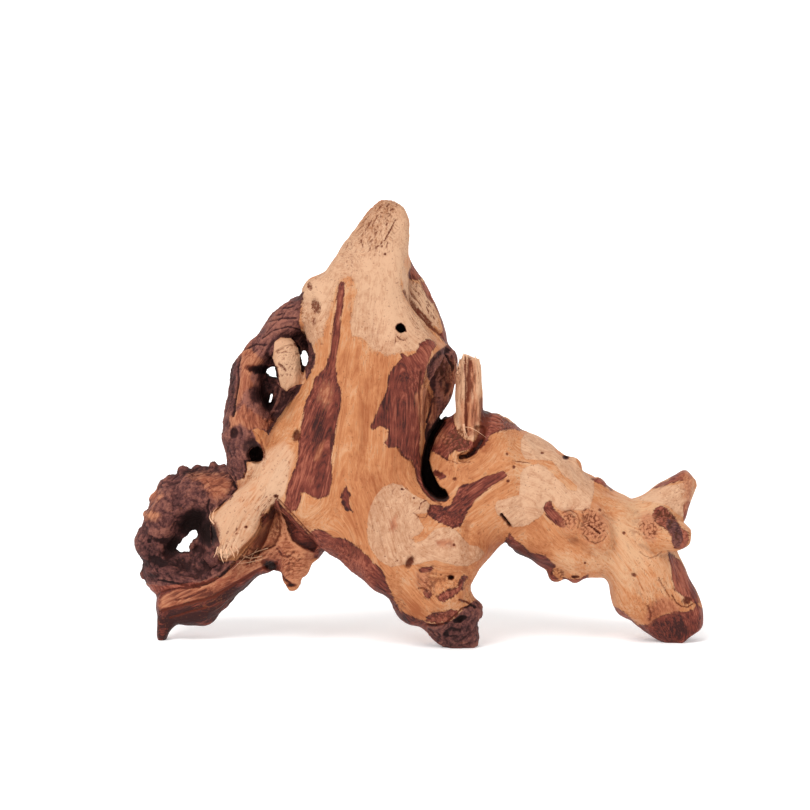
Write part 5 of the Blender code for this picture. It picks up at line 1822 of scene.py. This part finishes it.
@dataclass(frozen=True)
class MopaniFinish:
    """The colours, gloss and fine relief of the wood, with shade painted into its hollows, pits, cracks and
    slots and light painted on its crests.
    """

    sap_pale: Numbers = linear(202, 157, 120)
    sap: Numbers = linear(185, 122, 80)
    sap_deep: Numbers = linear(154, 88, 53)
    pale: Numbers = linear(203, 162, 131)
    pale_shade: Numbers = linear(164, 115, 84)
    heart_dark: Numbers = linear(54, 27, 25)
    heart: Numbers = linear(112, 52, 41)
    heart_light: Numbers = linear(156, 89, 69)
    bark_dark: Numbers = linear(36, 20, 20)
    bark: Numbers = linear(90, 53, 50)
    bark_light: Numbers = linear(142, 90, 76)
    blush_dark: Numbers = linear(92, 44, 32)
    blush: Numbers = linear(148, 83, 58)
    blush_light: Numbers = linear(188, 126, 92)
    # The near black of the deepest painted shade, in slots, pits and cracks.
    crevice: Numbers = linear(26, 12, 10)
    speck: Numbers = linear(112, 64, 40)
    # The brown of the shade painted into hollows, pits, cracks and slots, and of the dark flecks on weathered
    # wood.
    shade_and_fleck_brown: Numbers = linear(96, 40, 25)
    bump_depth: float = 0.45 * MM

    def material(self) -> bpy.types.Material:
        """Builds the wood's material.

        Returns:
            The material, which reads what CarvedFace painted.
        """
        kit = ShaderKit("mopani")
        place = kit.place()
        grain = kit.node("Attribute", {"attribute_name": "grain"}, {}).outputs["Vector"]
        band = kit.clouds(grain, (0.2, 0.2, 0.014), 3)
        fibre = kit.clouds(grain, (0.75, 0.75, 0.045), 4, 0.62)
        hair = kit.clouds(grain, (1.7, 1.7, 0.12), 3)
        thread = kit.clouds(grain, (2.6, 2.6, 0.3), 3, 0.65)
        blotch = kit.clouds(place, (0.06,) * 3, 3)
        mottle = kit.clouds(place, (0.2,) * 3, 4, 0.6)
        crumb = kit.clouds(place, (0.42,) * 3, 3, 0.6)
        speckle = kit.clouds(place, (0.85,) * 3, 1)
        grit = kit.clouds(place, (1.1,) * 3, 4, 0.65)
        tone, sunk, torn, rough = (kit.layer(name) for name in ("tone", "sunk", "torn", "rough"))

        warmth = 0.47 + 0.45 * tone + 0.7 * blotch + 0.9 * band + 1.2 * fibre + hair + 0.5 * mottle
        colour = kit.shade(warmth, self.sap_pale, self.sap, self.sap_deep)
        streak = kit.rise(hair, -0.06, -0.18) * kit.rise(fibre, 0.08, -0.08)
        colour = kit.mix(streak * 0.42, colour, self.speck)

        pale = kit.rise(kit.layer("pale") + 0.8 * grit + crumb + 1.2 * hair, -0.14, 0.14)
        pale_tone = 0.36 + 1.3 * crumb + 0.9 * mottle + 1.3 * hair + 1.3 * fibre
        pale_tone = pale_tone + 0.8 * grit + 0.55 * tone + 2.0 * rough * hair
        colour = kit.mix(pale * 0.9, colour, kit.mix(pale_tone, self.pale, self.pale_shade))
        # The sunk term paints the torn wood's hollows darker, as shade.
        torn_tone = 0.16 + 1.8 * fibre + 1.5 * hair + 0.9 * mottle + 0.5 * sunk + 0.9 * tone
        colour = kit.mix(torn * 0.75, colour, kit.mix(torn_tone, self.pale, self.sap))

        heart_edge = kit.layer("heart") + 2.4 * fibre + 1.7 * hair + 0.9 * grit + 1.6 * mottle
        heart = kit.rise(heart_edge, -0.15, 0.15)
        # The sunk term paints the heartwood's hollows darker, as shade.
        heart_tone = 0.5 + 0.42 * tone + 1.6 * hair + 1.5 * fibre + 0.8 * mottle + 0.3 * sunk
        colour = kit.mix(heart, colour, kit.shade(heart_tone, self.heart_light, self.heart, self.heart_dark))
        outline = kit.rise(heart_edge, -0.5, 0.0) * kit.rise(heart_edge, 0.6, 0.1)
        colour = kit.mix(outline * 0.35, colour, self.heart_dark)

        bark = kit.rise(kit.layer("bark") + 2.4 * crumb + 1.2 * grit, -0.25, 0.25)
        # The sunk term paints bark lighter on crests and darker in hollows, as painted highlight and shade.
        bark_tone = 0.5 + 0.4 * tone + 0.8 * crumb + grit + 0.7 * mottle + 0.5 * hair - 0.3 * sunk
        colour = kit.mix(bark, colour, kit.shade(bark_tone, self.bark_dark, self.bark, self.bark_light))

        blush = kit.rise(kit.layer("blush") + 2.6 * fibre + 1.6 * crumb, -1.0, 1.0)
        # The sunk term paints blushed wood lighter on crests and darker in hollows, as painted highlight and
        # shade.
        blush_tone = 0.55 + 1.5 * fibre + 1.3 * hair - 0.45 * sunk - 0.35 * tone
        blushed = kit.shade(blush_tone, self.blush_dark, self.blush, self.blush_light)
        colour = kit.mix(blush * 0.85, colour, blushed)

        rim = kit.rise(kit.layer("pale"), -0.8, -0.1) * kit.rise(kit.layer("pale"), 0.7, 0.1)
        specks = kit.rise(speckle, 0.16, 0.23) * 0.5 + kit.rise(grit, 0.06, 0.16) * rim * 0.6
        colour = kit.mix(specks, colour, self.speck)
        # Dark pocks of the rough wood, laid only where the surface is sunk: partly its own pits and partly
        # painted shade in them.
        pocks_and_pit_shade = kit.rise(rough + 1.6 * grit, 0.3, 0.9) * kit.rise(sunk, -0.1, 0.6)
        colour = kit.mix(pocks_and_pit_shade * 0.7, colour, self.speck)
        threads = kit.rise(thread, -0.03, -0.17) * kit.rise(rough, 0.05, 0.6)
        threads = threads + kit.rise(thread, -0.14, -0.22) * 0.5
        colour = kit.mix(threads * (1.0 - bark) * 0.65, colour, self.speck)
        # Painted shade: where the surface is sunk it darkens towards brown, or towards the dark heartwood
        # colour on bark and heartwood.
        hollow = kit.rise(sunk + 0.4 * grit, 0.12, 0.9)
        shaded = kit.mix(kit.rise(bark + heart, 0.0, 1.0), self.shade_and_fleck_brown, self.heart_dark)
        colour = kit.mix(hollow * (0.38 + 0.2 * bark), colour, shaded)
        # Painted shade in the pits, cracks and slots that the dark layer marks, and the dark flecks it also
        # holds: brown, the dark bark colour on bark, and near black where it is deepest.
        dark = kit.layer("dark") + 0.7 * grit + 0.4 * fibre
        colour = kit.mix(kit.rise(dark, 0.06, 0.5) * 0.85, colour, kit.mix(bark, self.shade_and_fleck_brown, self.bark_dark))
        colour = kit.mix(kit.rise(dark, 0.5, 0.95) * 0.95, colour, self.crevice)

        relief = 0.35 * fibre + 0.3 * hair + 0.22 * grit + 0.16 * pale - 0.14 * heart
        relief = relief + 0.5 * bark * (crumb + 0.5) + 0.5 * rough * (grit + 0.5)
        relief = relief + (0.35 * heart + 0.4 * torn) * (hair + 0.5)
        bump = kit.node("Bump", {}, {"Strength": 0.9, "Distance": self.bump_depth, "Height": relief})
        return kit.finish({
            "Base Color": colour,
            "Roughness": 0.6 + 0.14 * pale + 0.16 * bark - 0.08 * heart + 0.1 * grit,
            "Specular IOR Level": 0.12,
            "Normal": bump.outputs["Normal"],
        })


@dataclass(frozen=True)
class Splinter:
    """A thin strand of torn wood: pixels with how far each stands before the wood, and its radius."""

    spots: tuple[Numbers, ...]
    radius: float


@dataclass
class LooseFibres:
    """The hairs and shreds that stand out where the wood is torn.

    slack is how many millimetres behind the nearest wood a strand may still lie.
    """

    face: CarvedFace
    sides: int = 6
    steps: int = 4
    slack: float = 4.0
    taper: float = 0.85
    taper_power: float = 1.5
    flatness: float = 0.6
    hair: Splinter = Splinter(((464.5, 427, 0.2), (470, 427.6, 2.5), (477, 431, 4), (486, 437.5, 5)), 0.36)
    shreds: tuple[Splinter, ...] = (
        Splinter(((463.6, 364, -0.8), (463.7, 358, -0.8), (463.4, 351.6, -0.8)), 0.6),
        Splinter(((460.2, 368, -0.6), (459.6, 362, -0.6), (460.2, 356, -0.6)), 0.5),
        Splinter(((466.4, 364, -1.0), (467.0, 358, -1.0), (466.2, 354, -1.0)), 0.5),
        Splinter(((475.4, 364, -0.8), (475.6, 359, -0.8), (475.2, 354.6, -0.8)), 0.6),
        Splinter(((478.6, 367, -0.8), (479.0, 361, -0.8), (479.4, 356.6, -0.8)), 0.5),
        Splinter(((457.5, 374, -0.6), (457.2, 368, -0.6), (456.4, 363, -0.6)), 0.4),
        Splinter(((464, 424, 0), (465.5, 432, 0.8), (468.6, 439, 1.2)), 0.34),
        Splinter(((463, 424, 0), (464.2, 431, 0.8), (465.4, 437, 1.2)), 0.3),
        Splinter(((218, 547, -0.2), (216, 553, 0.5), (213.6, 557.5, 0.8)), 0.5),
        Splinter(((221, 549, -0.2), (221.4, 557, 0.5), (223.6, 563, 0.8)), 0.5),
        Splinter(((226, 549, -0.2), (227.4, 556, 0.5), (226, 561, 0.8)), 0.45),
        Splinter(((230, 547, -0.2), (233.0, 553, 0.5), (234.6, 558, 0.6)), 0.45),
        Splinter(((235, 546, -0.2), (238, 551, 0.5), (237, 556, 0.6)), 0.35),
        Splinter(((214, 524, -0.2), (209.8, 518, 0.5), (211, 511, 0.6)), 0.45),
        Splinter(((213, 520, -0.2), (213.5, 512, 0.5), (218, 506.5, 0.6)), 0.35),
        Splinter(((262, 556, 0), (250, 558, 1.2), (240, 554, 1.6)), 0.3),
        Splinter(((262, 559, 0), (250, 562, 1.2), (236, 564, 1.2)), 0.3),
        Splinter(((268, 548, 0), (256, 552, 1.2), (244, 558, 1.4)), 0.28),
        Splinter(((258, 548, 0), (252, 556, 1.0), (249, 566, 0.8)), 0.28),
        Splinter(((246, 556, 0), (240, 562, 1.0), (232, 570, 0.8)), 0.26),
    )

    def knots(self, splinter: Splinter) -> Array:
        """A strand's points: where the wood behind it drops away, it stays by the nearest wood.

        Args:
            splinter: its path and radius.

        Returns:
            Places in metres, one row each.
        """
        fronts = [self.face.front(x, y) for x, y, _ in splinter.spots]
        farthest = min(fronts) + self.slack
        depths = [min(front, farthest) - lift for front, (_, _, lift) in zip(fronts, splinter.spots)]
        return np.array([tuple(VIEW.place(x, y, d)) for d, (x, y, _) in zip(depths, splinter.spots)])

    def sweep(self, bm: bmesh.types.BMesh, splinter: Splinter) -> None:
        """Adds one strand, which tapers to a point.

        Args:
            bm: what it is added to.
            splinter: its path and radius.
        """
        path = [Vector(spot) for spot in curve_through(self.knots(splinter), self.steps)]
        matrices = []
        for index, spot in enumerate(path):
            ahead = path[min(index + 1, len(path) - 1)] - path[max(index - 1, 0)]
            turn = ahead.to_track_quat("Z", "Y").to_matrix().to_4x4()
            thinned = 1 - self.taper * (index / (len(path) - 1)) ** self.taper_power
            size = splinter.radius * MM * thinned
            scale = Matrix.Diagonal((size, self.flatness * size, size, 1))
            matrices.append(Matrix.Translation(spot) @ turn @ scale)
        ring = bmesh.ops.create_circle(bm, cap_ends=True, segments=self.sides, radius=1)["verts"]
        sweep_ring(bm, ring, matrices)

    def build(self) -> list[bpy.types.Object]:
        """Makes the strands.

        Returns:
            The hair at the stub, and the shreds.
        """
        made = []
        for name, splinters in (("stub_hair", (self.hair,)), ("torn_shreds", self.shreds)):
            bm = bmesh.new()
            for splinter in splinters:
                self.sweep(bm, splinter)
            piece = object_from(bm, name)
            piece.data.shade_smooth()
            made.append(piece)
        return made

    @staticmethod
    def material() -> bpy.types.Material:
        """Pale torn fibre."""
        kit = ShaderKit("torn_fibre")
        streaks = kit.clouds(kit.place(), (1.5, 1.5, 0.3), 2) + 0.5
        colour = kit.mix(streaks, linear(240, 196, 160), linear(204, 150, 112))
        return kit.finish({"Base Color": colour, "Roughness": 0.65})


@dataclass(frozen=True)
class Studio:
    """A pale floor that sweeps up behind, soft light from all round, and a broad lamp from the upper left."""

    half_width: float = 8.0
    sweep_start: float = 2.6
    sweep_radius: float = 1.2
    sweep_steps: int = 12
    top: float = 6.0
    floor_front: float = -6.0
    floor_colour: Numbers = (0.93, 0.93, 0.93, 1.0)
    floor_glow: float = 0.24
    floor_roughness: float = 0.95
    floor_gloss: float = 0.1
    sky_strength: float = 0.55
    key_strength: float = 2.15
    key_angle: float = math.radians(30)
    key_turn: Numbers = (math.radians(42), 0.0, math.radians(-28))
    fill_strength: float = 0.45
    fill_turn: Numbers = (math.radians(66), 0.0, math.radians(38))

    def profile(self) -> list[tuple[float, float]]:
        """The sweep's outline in y and z, from the front to the top."""
        spots = [(self.floor_front, 0.0)]
        for step in range(self.sweep_steps + 1):
            turn = math.pi / 2 * step / self.sweep_steps
            y = self.sweep_start + self.sweep_radius * math.sin(turn)
            spots.append((y, self.sweep_radius * (1 - math.cos(turn))))
        spots.append((self.sweep_start + self.sweep_radius, self.top))
        return spots

    def build(self) -> None:
        """Lays the floor and sets the lights, the camera and the screen's colours."""
        bm = bmesh.new()
        line = [bm.verts.new((-self.half_width, y, z)) for y, z in self.profile()]
        edges = [bm.edges.new(pair) for pair in zip(line, line[1:])]
        far = only(bmesh.types.BMVert, bmesh.ops.extrude_edge_only(bm, edges=edges)["geom"])
        bmesh.ops.translate(bm, vec=(2 * self.half_width, 0, 0), verts=far)
        floor = object_from(bm, "floor")
        floor.data.shade_smooth()
        floor.data.materials.append(ShaderKit("floor_paint").finish({
            "Base Color": self.floor_colour,
            "Roughness": self.floor_roughness,
            "Specular IOR Level": self.floor_gloss,
            "Emission Color": self.floor_colour,
            "Emission Strength": self.floor_glow,
        }))
        world = bpy.data.worlds.new("studio")
        world.use_nodes = True
        background = world.node_tree.nodes["Background"]
        background.inputs["Color"].default_value = (1, 1, 1, 1)
        background.inputs["Strength"].default_value = self.sky_strength
        bpy.context.scene.world = world
        self.add_sun("key_lamp", self.key_strength, self.key_turn)
        self.add_sun("fill_lamp", self.fill_strength, self.fill_turn)
        VIEW.set_camera()
        bpy.context.scene.view_settings.view_transform = "Standard"

    def add_sun(self, name: str, strength: float, turn: Numbers) -> None:
        """Adds a far broad lamp.

        Args:
            name: its name.
            strength: how bright it is.
            turn: its rotation in radians.
        """
        data = bpy.data.lights.new(name, "SUN")
        data.energy = strength
        data.angle = self.key_angle
        lamp = bpy.data.objects.new(name, data)
        lamp.rotation_euler = turn
        bpy.context.scene.collection.objects.link(lamp)


def main() -> None:
    """Grows, carves, paints and parts the wood, and sets the studio."""
    wood = GrownWood().grow()
    log.info("grown: %d points", len(wood.data.vertices))
    face = CarvedFace(wood)
    face.mark_kinds()
    face.carve_forms()
    face.add_relief()
    face.settle()
    face.paint()
    log.info("carved and painted")
    material = MopaniFinish().material()
    total = 0
    for limb, fork in Parting(wood).part():
        limb.data.materials.clear()
        limb.data.materials.append(material)
        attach(limb, "root")
        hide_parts(fork.node)
        limb.data.calc_loop_triangles()
        total += len(limb.data.loop_triangles)
        log.info("%s: %d triangles", fork.name, len(limb.data.loop_triangles))
    fibres = LooseFibres(face)
    torn = fibres.material()
    for strand in fibres.build():
        strand.data.materials.append(torn)
        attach(strand, "root")
        log.info("%s: %d faces", strand.name, len(strand.data.polygons))
    Studio().build()
    log.info("all limbs: %d triangles", total)


if __name__ == "__main__":
    logging.basicConfig(level=logging.INFO, format="%(relativeCreated)d %(message)s")
    main()
